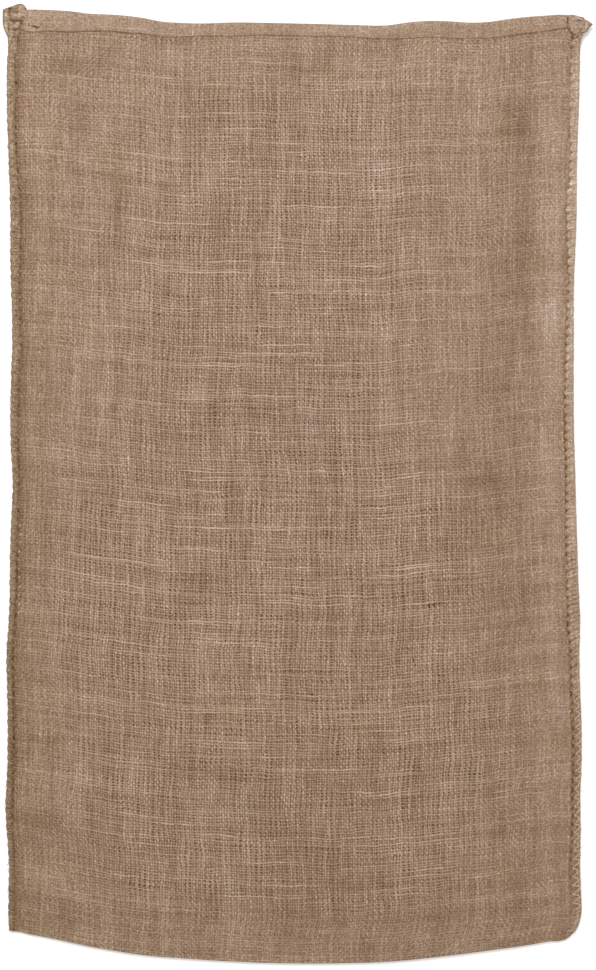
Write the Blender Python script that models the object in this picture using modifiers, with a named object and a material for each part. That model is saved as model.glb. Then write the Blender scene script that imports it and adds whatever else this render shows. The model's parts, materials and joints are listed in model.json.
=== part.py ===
"""Empty jute sack lying on its back, mouth towards +Y.

One length of sacking cloth is folded in half at the bottom and sewn up both
sides with close turns of jute twine.  The mouth edge is turned outwards twice
all round.  Lengths are in metres unless a name ends in _MM.
"""

import math
from collections import namedtuple

import bmesh
import bpy

MM = 0.001

# ---- driving dimensions ----
SACK_WIDTH_MM = 600.0           # side seam to side seam, as cut
CLOTH_THICKNESS = 0.0012
LAYER_PITCH = 0.00165           # middle of one layer to middle of the next
HEM_LAYERS = 3                  # main layer, tucked leg, outer leg
TUCK_SHORTFALL = 0.0015         # the tucked raw edge stops below the mouth turn
BACK_MOUTH_DROP = 0.003         # the back lip lies a little below the front lip

TWINE_WALL = 0.0013             # thickness of the wrapped twine over the cloth
TWINE_CLEARANCE = 0.00035       # between the twine's turns and the cloth
TWINE_EDGE_GAP = 0.0003         # the turns' centre stands this far off the cloth edge
TWINE_TOP_OVERRUN = 0.001       # the turns run past the mouth
TWINE_BOTTOM_STOP = 0.0005      # and stop just short of the bottom fold

FRONT_LOFT = 0.0130             # front to back, middle of layer to middle of layer
MOUTH_LOFT = 0.0085
BOTTOM_LOFT = 0.0060
SEAM_FLAT = 0.011               # the layers lie together this far in from the edge
SEAM_RAMP = 0.052               # and part over this width
MOUTH_RAMP = 0.060
BOTTOM_RAMP = 0.070
SEAM_END_RAMP = 0.020           # the seam thickens over this length below the hem
EAR_FADE = 0.040                # how far in from the edge a corner's flare is felt

TURN_STEPS = 4                  # facets in each half turn of cloth or twine
HEM_STEPS = 3                   # rows of facets up the hem

# ---- lines across the cloth, measured in from each side edge ----
LINES_FROM_EDGE_MM = (0, 5, 11, 18, 28, 42, 60, 85, 118, 158, 205, 260)

# ---- rows up the body, as fractions of the way from the hem to the bottom ----
BODY_ROWS = (0.014, 0.032, 0.058, 0.095, 0.16, 0.25, 0.345, 0.44,
             0.535, 0.63, 0.72, 0.80, 0.87, 0.925, 0.965, 1.0)

# ---- side edges of the cloth, bottom to mouth ----
SideEdge = namedtuple("SideEdge", "along left right")
SIDE_EDGES_MM = [
    SideEdge(along=-475, left=-297.8, right=289.0),
    SideEdge(along=-460, left=-297.8, right=296.0),
    SideEdge(along=-445, left=-297.8, right=299.4),
    SideEdge(along=-430, left=-298.0, right=299.9),
    SideEdge(along=-285, left=-300.4, right=298.6),
    SideEdge(along=-180, left=-300.4, right=297.2),
    SideEdge(along=-54, left=-296.4, right=294.0),
    SideEdge(along=9, left=-293.6, right=292.8),
    SideEdge(along=115, left=-296.0, right=291.2),
    SideEdge(along=157, left=-293.8, right=291.0),
    SideEdge(along=283, left=-296.0, right=293.8),
    SideEdge(along=346, left=-298.8, right=295.2),
    SideEdge(along=410, left=-300.8, right=297.6),
    SideEdge(along=473, left=-297.6, right=298.4),
    SideEdge(along=512, left=-298.5, right=298.8),
]

# ---- mouth and bottom edges, left to right ----
EndEdge = namedtuple("EndEdge", "across mouth hem_depth bottom")
END_EDGES_MM = [
    EndEdge(across=-300, mouth=505.5, hem_depth=22.0, bottom=-467.0),
    EndEdge(across=-289, mouth=511.0, hem_depth=24.5, bottom=-468.0),
    EndEdge(across=-281, mouth=506.8, hem_depth=23.0, bottom=-470.0),
    EndEdge(across=-262, mouth=505.0, hem_depth=21.5, bottom=-473.5),
    EndEdge(across=-216, mouth=501.4, hem_depth=18.5, bottom=-483.2),
    EndEdge(across=-163, mouth=497.8, hem_depth=16.0, bottom=-492.0),
    EndEdge(across=-100, mouth=490.7, hem_depth=12.2, bottom=-497.2),
    EndEdge(across=-5, mouth=490.5, hem_depth=11.4, bottom=-501.0),
    EndEdge(across=48, mouth=489.5, hem_depth=11.6, bottom=-501.0),
    EndEdge(across=111, mouth=491.5, hem_depth=14.6, bottom=-498.8),
    EndEdge(across=174, mouth=492.6, hem_depth=15.8, bottom=-492.4),
    EndEdge(across=221, mouth=494.8, hem_depth=17.6, bottom=-486.6),
    EndEdge(across=259, mouth=498.9, hem_depth=15.5, bottom=-481.4),
    EndEdge(across=276, mouth=500.2, hem_depth=14.2, bottom=-478.8),
    EndEdge(across=288, mouth=500.0, hem_depth=14.6, bottom=-476.4),
    EndEdge(across=295, mouth=499.2, hem_depth=15.0, bottom=-472.6),
    EndEdge(across=303, mouth=495.2, hem_depth=14.0, bottom=-459.6),
]

# ---- width of the sewn edge on each side, bottom to mouth ----
SeamWidth = namedtuple("SeamWidth", "along left right")
SEAM_WIDTHS_MM = [
    SeamWidth(along=-465, left=7.0, right=8.0),
    SeamWidth(along=-430, left=6.6, right=11.5),
    SeamWidth(along=-340, left=6.2, right=9.5),
    SeamWidth(along=-200, left=8.0, right=9.5),
    SeamWidth(along=200, left=11.2, right=9.0),
    SeamWidth(along=300, left=10.6, right=9.2),
    SeamWidth(along=470, left=9.6, right=9.6),
    SeamWidth(along=512, left=13.0, right=13.0),
]

# ---- the corners of the mouth stand out past the seams ----
Ear = namedtuple("Ear", "side along half_length reach")
EARS_MM = [
    Ear(side=-1, along=498, half_length=16, reach=3.2),
    Ear(side=1, along=489, half_length=10, reach=9.6),
]

# ---- soft ridges and troughs of the front layer ----
Fold = namedtuple("Fold", "across along half_width half_length height")
FRONT_FOLDS_MM = [
    Fold(across=241, along=273, half_width=16, half_length=140, height=-1.6),
    Fold(across=268, along=270, half_width=17, half_length=150, height=1.5),
    Fold(across=88, along=335, half_width=20, half_length=110, height=1.6),
    Fold(across=-223, along=392, half_width=14, half_length=60, height=-1.2),
    Fold(across=-184, along=300, half_width=15, half_length=70, height=-1.1),
    Fold(across=-62, along=246, half_width=60, half_length=16, height=-0.9),
    Fold(across=-20, along=56, half_width=150, half_length=20, height=-1.1),
    Fold(across=-190, along=-272, half_width=90, half_length=22, height=-1.3),
    Fold(across=225, along=-252, half_width=70, half_length=20, height=-1.2),
    Fold(across=-120, along=-130, half_width=90, half_length=90, height=1.4),
    Fold(across=110, along=-150, half_width=80, half_length=130, height=1.2),
]

JUTE_CLOTH = {"color": (0.333, 0.223, 0.150, 1.0), "roughness": 0.95}
JUTE_TWINE = {"color": (0.306, 0.199, 0.128, 1.0), "roughness": 0.90}


def ease(value):
    """Smooth step from 0 to 1."""
    value = min(1.0, max(0.0, value))
    return value * value * (3.0 - 2.0 * value)


def read_table(rows, key, column, at_mm):
    """Value of a column at a place along the key column, curved between rows."""
    keys = [getattr(row, key) for row in rows]
    values = [getattr(row, column) for row in rows]
    at_mm = min(keys[-1], max(keys[0], at_mm))
    low = 0
    while low < len(keys) - 2 and at_mm > keys[low + 1]:
        low += 1
    high = low + 1
    span = keys[high] - keys[low]
    step = (at_mm - keys[low]) / span
    slopes = []
    for middle in (low, high):
        before = max(middle - 1, 0)
        after = min(middle + 1, len(keys) - 1)
        slopes.append((values[after] - values[before]) / (keys[after] - keys[before]))
    curve = (2 * step ** 3 - 3 * step ** 2 + 1) * values[low]
    curve += (step ** 3 - 2 * step ** 2 + step) * span * slopes[0]
    curve += (3 * step ** 2 - 2 * step ** 3) * values[high]
    curve += (step ** 3 - step ** 2) * span * slopes[1]
    return curve


def end_edge(across, column):
    return MM * read_table(END_EDGES_MM, "across", column, across / MM)


def across_at(line_mm, along):
    """Place across the sack of a line that is line_mm in from the cloth's left edge."""
    left = MM * read_table(SIDE_EDGES_MM, "along", "left", along / MM)
    right = MM * read_table(SIDE_EDGES_MM, "along", "right", along / MM)
    across = left + (right - left) * line_mm / SACK_WIDTH_MM
    for ear in EARS_MM:
        inward = line_mm if ear.side < 0 else SACK_WIDTH_MM - line_mm
        near_edge = 1.0 - ease(inward * MM / EAR_FADE)
        offset = (along / MM - ear.along) / ear.half_length
        across += ear.side * ear.reach * MM * near_edge * math.exp(-offset * offset)
    return across


def seam_share(line_mm):
    """1 where the two layers are sewn together, 0 where they lie apart."""
    inward = min(line_mm, SACK_WIDTH_MM - line_mm) * MM
    return 1.0 - ease((inward - SEAM_FLAT) / SEAM_RAMP)


def mouth_along(line_mm):
    return end_edge(across_at(line_mm, 0.480), "mouth")


def bottom_along(line_mm):
    return end_edge(across_at(line_mm, -0.440), "bottom")


def hem_depth(line_mm):
    return end_edge(across_at(line_mm, 0.480), "hem_depth")


def hem_share(line_mm, along, ramp):
    """1 beside the hem, falling to 0 a ramp's length below it."""
    hem_foot = mouth_along(line_mm) - hem_depth(line_mm)
    return ease((along - hem_foot + ramp) / ramp + 0.08)


def stack_half_height(extra):
    """Half the height of the layers in the seam; extra is 0 in the body, 1 at the hem."""
    layers = 2 + 2 * (HEM_LAYERS - 1) * extra
    return (layers - 1) * LAYER_PITCH / 2 + CLOTH_THICKNESS / 2


def seam_height(line_mm, along):
    """Height of the seam's middle, so that its twine touches the ground."""
    extra = hem_share(line_mm, along, SEAM_END_RAMP)
    return stack_half_height(extra) + TWINE_CLEARANCE + TWINE_WALL


def back_height(line_mm, along):
    """Height of the middle of the back layer."""
    sewn = seam_share(line_mm)
    lying = CLOTH_THICKNESS / 2
    lying += (HEM_LAYERS - 1) * LAYER_PITCH * hem_share(line_mm, along, MOUTH_RAMP)
    held = seam_height(line_mm, along) - LAYER_PITCH / 2
    return sewn * held + (1.0 - sewn) * lying


def layer_gap(line_mm, along):
    """Front layer above back layer, middle to middle."""
    sewn = seam_share(line_mm)
    at_mouth = hem_share(line_mm, along, MOUTH_RAMP)
    at_bottom = 1.0 - ease((along - bottom_along(line_mm)) / BOTTOM_RAMP)
    loose = FRONT_LOFT
    loose += (MOUTH_LOFT - FRONT_LOFT) * at_mouth
    loose += (BOTTOM_LOFT - FRONT_LOFT) * at_bottom
    across = across_at(line_mm, along) / MM
    for fold in FRONT_FOLDS_MM:
        aside = (across - fold.across) / fold.half_width
        ahead = (along / MM - fold.along) / fold.half_length
        relief = fold.height * math.exp(-aside * aside - ahead * ahead)
        loose += MM * relief * (1.0 - at_mouth) * (1.0 - at_bottom)
    return sewn * LAYER_PITCH + (1.0 - sewn) * loose


def front_height(line_mm, along):
    return back_height(line_mm, along) + layer_gap(line_mm, along)


def lip_along(line_mm, side):
    """Middle of the mouth's turn; the back lip drops where it isn't sewn."""
    along = mouth_along(line_mm) - LAYER_PITCH - CLOTH_THICKNESS / 2
    if side < 0:
        along -= BACK_MOUTH_DROP * (1.0 - seam_share(line_mm))
    return along


def fold_radius(line_mm):
    """Half the height of the turn at the bottom fold."""
    return layer_gap(line_mm, bottom_along(line_mm)) / 2


def body_rows(line_mm, side):
    """Rows down one main layer, from the mouth's turn to the bottom fold."""
    top = lip_along(line_mm, side)
    hem_foot = top - hem_depth(line_mm)
    low = bottom_along(line_mm) + fold_radius(line_mm) + CLOTH_THICKNESS / 2
    rows = [top + (hem_foot - top) * step / HEM_STEPS for step in range(HEM_STEPS + 1)]
    rows += [hem_foot + (low - hem_foot) * share for share in BODY_ROWS]
    return rows


def hem_path(line_mm, side):
    """(along, height) from the tucked raw edge round to the mouth's turn."""
    surface = front_height if side > 0 else back_height
    top = lip_along(line_mm, side)
    foot = top - hem_depth(line_mm)
    turn_radius = LAYER_PITCH / 2
    turn_along = foot + turn_radius
    path = []
    tuck_top = top - TUCK_SHORTFALL
    for step in range(HEM_STEPS + 1):
        along = tuck_top + (turn_along - tuck_top) * step / HEM_STEPS
        path.append((along, surface(line_mm, along) + side * LAYER_PITCH))
    for step in range(1, TURN_STEPS):
        angle = math.pi * step / TURN_STEPS
        lift = LAYER_PITCH + turn_radius * (1.0 - math.cos(angle))
        height = surface(line_mm, turn_along) + side * lift
        path.append((turn_along - turn_radius * math.sin(angle), height))
    for step in range(HEM_STEPS + 1):
        along = turn_along + (top - turn_along) * step / HEM_STEPS
        path.append((along, surface(line_mm, along) + side * 2 * LAYER_PITCH))
    for step in range(1, TURN_STEPS):
        angle = math.pi * step / TURN_STEPS
        lift = LAYER_PITCH * (1.0 + math.cos(angle))
        height = surface(line_mm, top) + side * lift
        path.append((top + LAYER_PITCH * math.sin(angle), height))
    return path


def cloth_path(line_mm):
    """(along, height) of the cloth's middle, from the front hem round to the back hem."""
    path = hem_path(line_mm, 1)
    for along in body_rows(line_mm, 1):
        path.append((along, front_height(line_mm, along)))
    radius = fold_radius(line_mm)
    low, front_low = path[-1]
    for step in range(1, TURN_STEPS):
        angle = math.pi * step / TURN_STEPS
        height = front_low - radius * (1.0 - math.cos(angle))
        path.append((low - radius * math.sin(angle), height))
    for along in reversed(body_rows(line_mm, -1)):
        path.append((along, back_height(line_mm, along)))
    path += reversed(hem_path(line_mm, -1))
    return path


def cloth_points():
    """Rows of points, one row for each line across the cloth."""
    from_right = [SACK_WIDTH_MM - line for line in reversed(LINES_FROM_EDGE_MM)]
    points = []
    for line_mm in list(LINES_FROM_EDGE_MM) + from_right:
        path = cloth_path(line_mm)
        points.append([(across_at(line_mm, along), along, height) for along, height in path])
    return points


def seam_points(side):
    """Rows of points along one sewn edge: twine down the front, round and under."""
    line_mm = 0.0 if side < 0 else SACK_WIDTH_MM
    column = "left" if side < 0 else "right"
    rows = body_rows(line_mm, 1)
    rows[0] += LAYER_PITCH + CLOTH_THICKNESS / 2 + TWINE_TOP_OVERRUN
    rows[-1] = bottom_along(line_mm) + TWINE_BOTTOM_STOP
    points = []
    for along in rows:
        middle = seam_height(line_mm, along)
        radius = middle - TWINE_WALL / 2
        centre = across_at(line_mm, along) + side * TWINE_EDGE_GAP
        width = MM * read_table(SEAM_WIDTHS_MM, "along", column, along / MM)
        inner = centre + side * (radius + TWINE_WALL / 2 - width)
        section = [(inner, along, middle + radius)]
        for step in range(TURN_STEPS + 1):
            angle = math.pi * step / TURN_STEPS
            across = centre + side * radius * math.sin(angle)
            section.append((across, along, middle + radius * math.cos(angle)))
        section.append((inner, along, middle - radius))
        points.append(section)
    return points


def make_material(name, finish):
    material = bpy.data.materials.new(name)
    material.use_nodes = True
    shader = material.node_tree.nodes["Principled BSDF"]
    shader.inputs["Base Color"].default_value = finish["color"]
    shader.inputs["Roughness"].default_value = finish["roughness"]
    shader.inputs["Metallic"].default_value = 0.0
    return material


def bent_sheet(name, points, thickness, material, collection):
    """A grid laid onto rows of points and given its thickness, half to each side."""
    row_count = len(points)
    column_count = len(points[0])
    shell = bmesh.new()
    bmesh.ops.create_grid(
        shell, x_segments=column_count - 1, y_segments=row_count - 1, size=1.0)
    for vertex in shell.verts:
        column = round((vertex.co.x + 1.0) / 2.0 * (column_count - 1))
        row = round((vertex.co.y + 1.0) / 2.0 * (row_count - 1))
        vertex.co = points[row][column]
    mesh = bpy.data.meshes.new(name)
    shell.to_mesh(mesh)
    shell.free()
    mesh.materials.append(material)
    mesh.shade_smooth()
    sheet = bpy.data.objects.new(name, mesh)
    collection.objects.link(sheet)
    solidify = sheet.modifiers.new("thickness", "SOLIDIFY")
    solidify.thickness = thickness
    solidify.offset = 0.0
    solidify.use_even_offset = True
    return sheet


def build():
    for leftover in list(bpy.data.objects):
        bpy.data.objects.remove(leftover, do_unlink=True)
    collection = bpy.data.collections.new("jute_sack")
    bpy.context.scene.collection.children.link(collection)
    jute_cloth = make_material("jute_cloth", JUTE_CLOTH)
    jute_twine = make_material("jute_twine", JUTE_TWINE)
    bent_sheet("cloth", cloth_points(), CLOTH_THICKNESS, jute_cloth, collection)
    bent_sheet("seam_twine_left", seam_points(-1), TWINE_WALL, jute_twine, collection)
    bent_sheet("seam_twine_right", seam_points(1), TWINE_WALL, jute_twine, collection)


build()
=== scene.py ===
import json
import math

import bpy
import numpy as np
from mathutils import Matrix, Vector


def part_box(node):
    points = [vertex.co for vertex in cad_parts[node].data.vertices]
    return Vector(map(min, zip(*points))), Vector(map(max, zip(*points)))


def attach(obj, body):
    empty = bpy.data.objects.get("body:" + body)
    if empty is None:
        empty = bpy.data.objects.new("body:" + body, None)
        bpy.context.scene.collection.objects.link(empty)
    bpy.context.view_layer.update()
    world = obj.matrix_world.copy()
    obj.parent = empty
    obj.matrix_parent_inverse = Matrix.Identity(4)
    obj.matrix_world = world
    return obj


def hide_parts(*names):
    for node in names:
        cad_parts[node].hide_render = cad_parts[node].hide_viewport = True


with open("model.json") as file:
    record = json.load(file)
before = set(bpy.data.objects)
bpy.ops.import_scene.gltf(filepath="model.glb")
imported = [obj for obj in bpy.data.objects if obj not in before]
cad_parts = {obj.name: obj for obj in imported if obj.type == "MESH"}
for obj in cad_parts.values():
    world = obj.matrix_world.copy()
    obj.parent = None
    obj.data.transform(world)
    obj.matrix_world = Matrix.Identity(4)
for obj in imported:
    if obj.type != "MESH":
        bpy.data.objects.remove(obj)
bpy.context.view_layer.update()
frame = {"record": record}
clothLow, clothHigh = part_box("cloth")
restPoint = frame["record"]["mounts"][0]["pos_m"]

# tables and working arrays are in millimetres: across from the rest point, up from the bottom fold,
# height above the surface it lies on; they become metres only when a mesh is made
mm = 0.001
bottomAlong = clothLow[1] / mm
middleAcross = restPoint[0] / mm
rng = np.random.default_rng(60100)
sideNames = {-1: "left", 1: "right"}
print("frame loaded, cloth", [round((b - a) / mm, 1) for a, b in zip(clothLow, clothHigh)], "mm")

# the sack's outline
outline = {
    # side edges of the cloth
    "leftUp": [26, 41, 56, 71, 100, 168, 216, 290, 321, 374, 447, 510, 550, 616, 658, 711, 753, 784, 847, 911,
               945, 974, 1013],
    "left": [-298.0, -298.2, -298.3, -298.2, -297.8, -301.2, -299.3, -299.5, -300.4, -297.4, -296.3, -293.9,
             -296.0, -295.6, -294.3, -295.4, -296.4, -296.2, -298.1, -300.1, -299.9, -298.4, -298.5],
    "rightUp": [26, 41, 56, 71, 100, 142, 184, 216, 247, 290, 332, 363, 395, 447, 510, 563, 616, 658, 711,
                784, 847, 911, 974, 1013],
    "right": [291.5, 296.3, 299.2, 298.8, 297.7, 298.2, 297.9, 299.2, 299.2, 297.7, 297.0, 297.7, 296.2,
              294.5, 292.7, 291.2, 290.9, 291.0, 291.0, 293.8, 294.4, 296.6, 297.8, 298.8],
    # mouth, depth of its hem, and bottom fold, left to right
    "across": [-300, -289, -281, -275, -269, -255, -236, -215, -194, -173, -157, -142, -126, -100, -63, -26,
               16, 58, 100, 121, 143, 164, 185, 206, 222, 237, 254, 269, 280, 287, 291, 296, 300, 304],
    "mouth": [1005.5, 1005.6, 1005.6, 1005.8, 1005.6, 1004.9, 1003.5, 1000.9, 1000.0, 998.3, 996.0, 992.9,
              991.6, 990.7, 991.7, 991.2, 990.3, 989.2, 988.9, 991.9, 993.4, 992.8, 991.5, 992.5, 994.9,
              996.8, 998.4, 999.7, 1000.4, 1000.1, 1000.1, 999.2, 998.5, 997.0],
    "hem": [15.0, 18.0, 21.0, 21.2, 21.0, 20.0, 19.4, 16.1, 15.1, 15.6, 14.2, 13.3, 13.1, 11.1, 12.2, 10.8,
            10.7, 10.7, 12.5, 14.9, 14.9, 15.9, 14.1, 15.0, 15.9, 15.1, 14.6, 13.9, 12.4, 12.4, 15.8, 20.0,
            16.8, 14.0],
    "foldAcross": [-300, -289, -281, -262, -216, -163, -100, -5, 48, 111, 174, 221, 259, 276, 288, 295, 303],
    "bottom": [35.0, 34.0, 32.0, 28.6, 19.0, 10.4, 5.2, 1.1, 1.0, 3.3,
               9.8, 15.8, 21.2, 24.2, 24.8, 27.6, 40.0],
    "readAt": {"mouth": 981.0, "hem": 981.0, "bottom": 61.0},   # height where their place across is taken
    "width": 600.0,
    "ears": [(-1, 999.2, 16.0, 3.2), (1, 990.2, 10.0, 9.6)],    # side, up, half length, reach
    "earRamp": 40.0,
}

# how the layers lie
lay = {
    "thickness": 1.1,
    "pitch": 1.65,       # middle of one layer to the middle of the next
    "hemPitch": 1.13,    # the same in the hem, where they are pressed and stitched
    "hemSwell": 0.8,     # the cloth rises this much to meet the fold of the hem,
    "swellBelow": 0.8,   # most of all this far below it, in a bell of this half width
    "swellHalf": 4.0,
    "puff": (0.45, 0.35),   # how far the hem's outer leg stands off in its middle, and how unevenly
    "tuckShort": 1.5,
    "backDrop": 3.0,     # the back lip lies below the front lip
    "frontLoft": 13.0,
    "mouthLoft": 8.5,
    "bottomLoft": 6.0,
    "seamRise": 3.075,   # half the height of a sewn edge
    "cornerRise": 6.375,
    "grooveRamp": 12.0,  # beside a sewn edge the cloth falls over this ramp by a first share,
    "grooveShare": 0.3,
    "grooveFloor": 2.0,  # and from here over a longer ramp by the rest
    "seamRamp": 55.0,
    "mouthRamp": 60.0,
    "bottomRamp": 70.0,
    "seamEndRamp": 20.0,
    "relief": {"lengths": (150, 95, 70, 52, 38), "height": 1.6, "seed": 11},
    "bottomCalm": 0.7,   # share of the relief that the bottom fold takes away
    # flat lengths: a face, the deepest hem, the bottom fold, the half turns at the mouth and the hem's foot
    "face": 1000.0,
    "hemFlat": 31.0,
    "foldTurn": 8.0,
    "mouthTurn": 5.4,
    "footTurn": 2.6,
}

# soft ridges and troughs of the front: across, up, half width, half length, height
folds = np.array([
    (241, 774, 15, 140, -2.0), (268, 771, 16, 150, 1.6), (88, 836, 16, 110, 1.6),
    (76, 860, 5, 60, -0.7), (-223, 893, 14, 60, -1.4), (-184, 801, 15, 70, -1.3),
    (-62, 747, 60, 14, -1.0), (-20, 557, 150, 18, -1.2), (-190, 229, 90, 20, -1.4),
    (225, 249, 70, 18, -1.4), (-120, 371, 90, 90, 1.4), (110, 351, 80, 130, 1.2),
])


def ease(value):
    # smooth step: three squares less two cubes, between 0 and 1
    value = np.clip(value, 0.0, 1.0)
    return value * value * (3.0 - 2.0 * value)


def bell(across, halfWidth, up=0.0, halfLength=1.0):
    # e to the power of less the square of each share
    return np.exp(-(across / halfWidth) ** 2 - (up / halfLength) ** 2)


def boxy(value, power):
    # a sine or cosine raised to a power with its sign kept: below 1 it squares an ellipse
    return np.sign(value) * np.abs(value) ** power


def placed(across, up, height):
    # the working axes carried into the frame's, still in mm
    return np.stack(np.broadcast_arrays(across + middleAcross, up + bottomAlong, height), axis=-1)


def curveThrough(keys, values, at):
    # cubic through each row, with the slope at a row taken from the rows on both sides of it
    keys, values = np.asarray(keys, float), np.asarray(values, float)
    slopes = np.gradient(values, keys)
    at = np.clip(at, keys[0], keys[-1])
    low = np.clip(np.searchsorted(keys, at, side="right") - 1, 0, len(keys) - 2)
    span = keys[low + 1] - keys[low]
    step = (at - keys[low]) / span
    return ((2 * step**3 - 3 * step**2 + 1) * values[low]
            + (step**3 - 2 * step**2 + step) * span * slopes[low]
            + (3 * step**2 - 2 * step**3) * values[low + 1]
            + (step**3 - step**2) * span * slopes[low + 1])


def acrossAt(line, up):
    # a share of the way from the left edge to the right edge, plus a bell curve where a corner stands out
    left = curveThrough(outline["leftUp"], outline["left"], up)
    right = curveThrough(outline["rightUp"], outline["right"], up)
    across = left + (right - left) * line / outline["width"]
    for side, earUp, halfLength, reach in outline["ears"]:
        inward = line if side < 0 else outline["width"] - line
        near = 1 - ease(inward / outline["earRamp"])
        across = across + side * reach * near * np.exp(-((up - earUp) / halfLength) ** 2)
    return across


def endEdge(line, name):
    # the height of the mouth or of the bottom fold, or the depth of the hem
    keys = outline["foldAcross" if name == "bottom" else "across"]
    return curveThrough(keys, outline[name], acrossAt(line, outline["readAt"][name] + 0 * line))


def waves(across, up, lengths, height, seed):
    # a sum of sine waves in random directions, each as high as it is long
    draw = np.random.default_rng(seed)
    total = np.zeros(np.broadcast(across, up).shape)
    for length in lengths:
        angle, phase = draw.uniform(0, np.pi), draw.uniform(0, 2 * np.pi)
        total += (length / lengths[0]) * np.sin(
            2 * np.pi * (across * np.cos(angle) + up * np.sin(angle)) / length + phase)
    return height * total / len(lengths)


# sewn edges, from the bottom to the mouth
seams = {
    "up": [36, 121, 226, 332, 437, 542, 647, 732, 816, 934, 1013],
    "leftWidthUp": [36, 80, 121, 195, 226, 332, 437, 500, 542, 647, 711, 732, 764, 816, 864, 900, 934, 955,
                    970, 983, 995, 1013],
    "leftWidth": [7.4, 6.6, 6.2, 7.0, 6.3, 6.4, 7.3, 6.6, 7.4, 9.0, 8.8, 9.8, 11.0, 9.8, 8.0, 9.2, 9.6, 8.2,
                  8.4, 10.4, 13.0, 13.5],
    "rightWidthUp": [36, 80, 121, 163, 226, 300, 332, 353, 384, 437, 542, 600, 647, 680, 742, 760, 816,
                     832, 862, 890, 934, 970, 1013],
    "rightWidth": [11.4, 10.6, 9.0, 7.8, 8.4, 8.8, 8.6, 12.0, 12.2, 11.4, 8.8, 8.8, 8.2, 7.0, 6.8, 8.6,
                   9.6, 7.4, 7.2, 8.8, 9.4, 9.2, 11.0],
    "leftGroove": [.18, .30, .72, .66, .60, .44, .36, .42, .52, .50, .35],     # how dark the painted shadow in the groove is
    "rightGroove": [.08, .64, 1.0, .80, .76, .92, .68, .54, .32, .46, .60],
    "leftShade": [.70, .69, .68, .77, .77, .83, .83, .88, .90, .97, 1.0],      # how bright the roll is: painted light and shade, partly its own paler tone
    "rightShade": [.98, .98, 1.04, 1.16, 1.20, 1.20, 1.34, 1.44, 1.54, 1.42, 1.2],
    "leftUneven": (0.45, 1.35),     # how much the groove's darkness changes from row to row
    "dirt": (0.09, 0.02),           # painted shade: how much darker the cloth is beside the left and the right edge
    "edgeShadeHalf": 9.0,                # and how far in
    "brown": 0.24,                  # how much browner beside the left one: painted, the redder light of its groove
    "brownHalf": 36.0,
    "overhang": 3.4,                # the sewn edge stands this far past the cloth's own edge
    "stitch": 9.2,
}


def seamWidth(side, up):
    # through the table of its side
    name = sideNames[side] + "Width"
    return curveThrough(seams[name + "Up"], seams[name], up)


def hemShare(line, up, ramp):
    # 1 beside the hem, easing to 0 a ramp's length below it
    foot = endEdge(line, "mouth") - endEdge(line, "hem")
    return ease((up - foot + ramp) / ramp + 0.08)


def seamHeight(line, up):
    # half the height of a sewn edge, easing to that of its corner
    return lay["seamRise"] + (lay["cornerRise"] - lay["seamRise"]) * hemShare(line, up, lay["seamEndRamp"])


def sewnShare(line, up):
    # 1 in the groove beside a sewn edge, falling steeply at first and then slowly to 0
    left = line - (seamWidth(-1, up) - seams["overhang"])
    right = outline["width"] - line - (seamWidth(1, up) - seams["overhang"])
    inward = np.minimum(left, right)
    steep = lay["grooveShare"] * ease(inward / lay["grooveRamp"])
    return 1 - steep - (1 - lay["grooveShare"]) * ease((inward - lay["grooveFloor"]) / lay["seamRamp"])


def backHeight(line, up):
    # half a layer below the middle of a sewn edge, and in between flat on the floor, or on the hem
    sewn = sewnShare(line, up)
    lying = lay["thickness"] / 2 + 2 * lay["pitch"] * hemShare(line, up, lay["mouthRamp"])
    return sewn * (seamHeight(line, up) - lay["pitch"] / 2) + (1 - sewn) * lying


def layerGap(line, up):
    # from the back to the front: one layer at a sewn edge, and in between a loft with its ridges and troughs
    sewn = sewnShare(line, up)
    atMouth = hemShare(line, up, lay["mouthRamp"])
    atBottom = 1 - ease((up - endEdge(line, "bottom")) / lay["bottomRamp"])
    loose = lay["frontLoft"] + (lay["mouthLoft"] - lay["frontLoft"]) * atMouth
    loose = loose + (lay["bottomLoft"] - lay["frontLoft"]) * atBottom
    across = acrossAt(line, up)
    relief = waves(across, up, **lay["relief"])
    for foldAcross, foldUp, halfWidth, halfLength, height in folds:
        relief = relief + height * bell(across - foldAcross, halfWidth, up - foldUp, halfLength)
    loose = loose + relief * (1 - atMouth) * (1 - lay["bottomCalm"] * atBottom)
    return sewn * lay["pitch"] + (1 - sewn) * loose


def frontHeight(line, up):
    return backHeight(line, up) + layerGap(line, up)


def lipUp(line, side):
    # where the cloth turns over at the mouth; between the sewn edges the back one drops
    up = endEdge(line, "mouth") - lay["hemPitch"] - lay["thickness"] / 2
    return up if side > 0 else up - lay["backDrop"] * (1 - sewnShare(line, up))


def hemPuff(line, up, share):
    # the outer leg stands off a little in its middle, unevenly
    even, uneven = lay["puff"]
    rumpled = waves(acrossAt(line, up), up, (46, 31, 23, 17), 1.0, seed=5)
    return (even + uneven * rumpled) * np.sin(np.pi * share)


# how finely the cloth is divided
sheet = {
    "columns": 140, "edgeShare": 0.28,                  # the columns crowd a little towards the edges
    "hem": {1: (5, 5, 11, 7), -1: (4, 4, 5, 5)},        # rows of the four parts of the front and the back hem
    "below": (0.3, 1.8, 3.6, 6.0, 9.0, 13.0),           # first rows of the front, this far below its hem
    "front": 193, "fold": 9, "back": 66,
}


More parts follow.
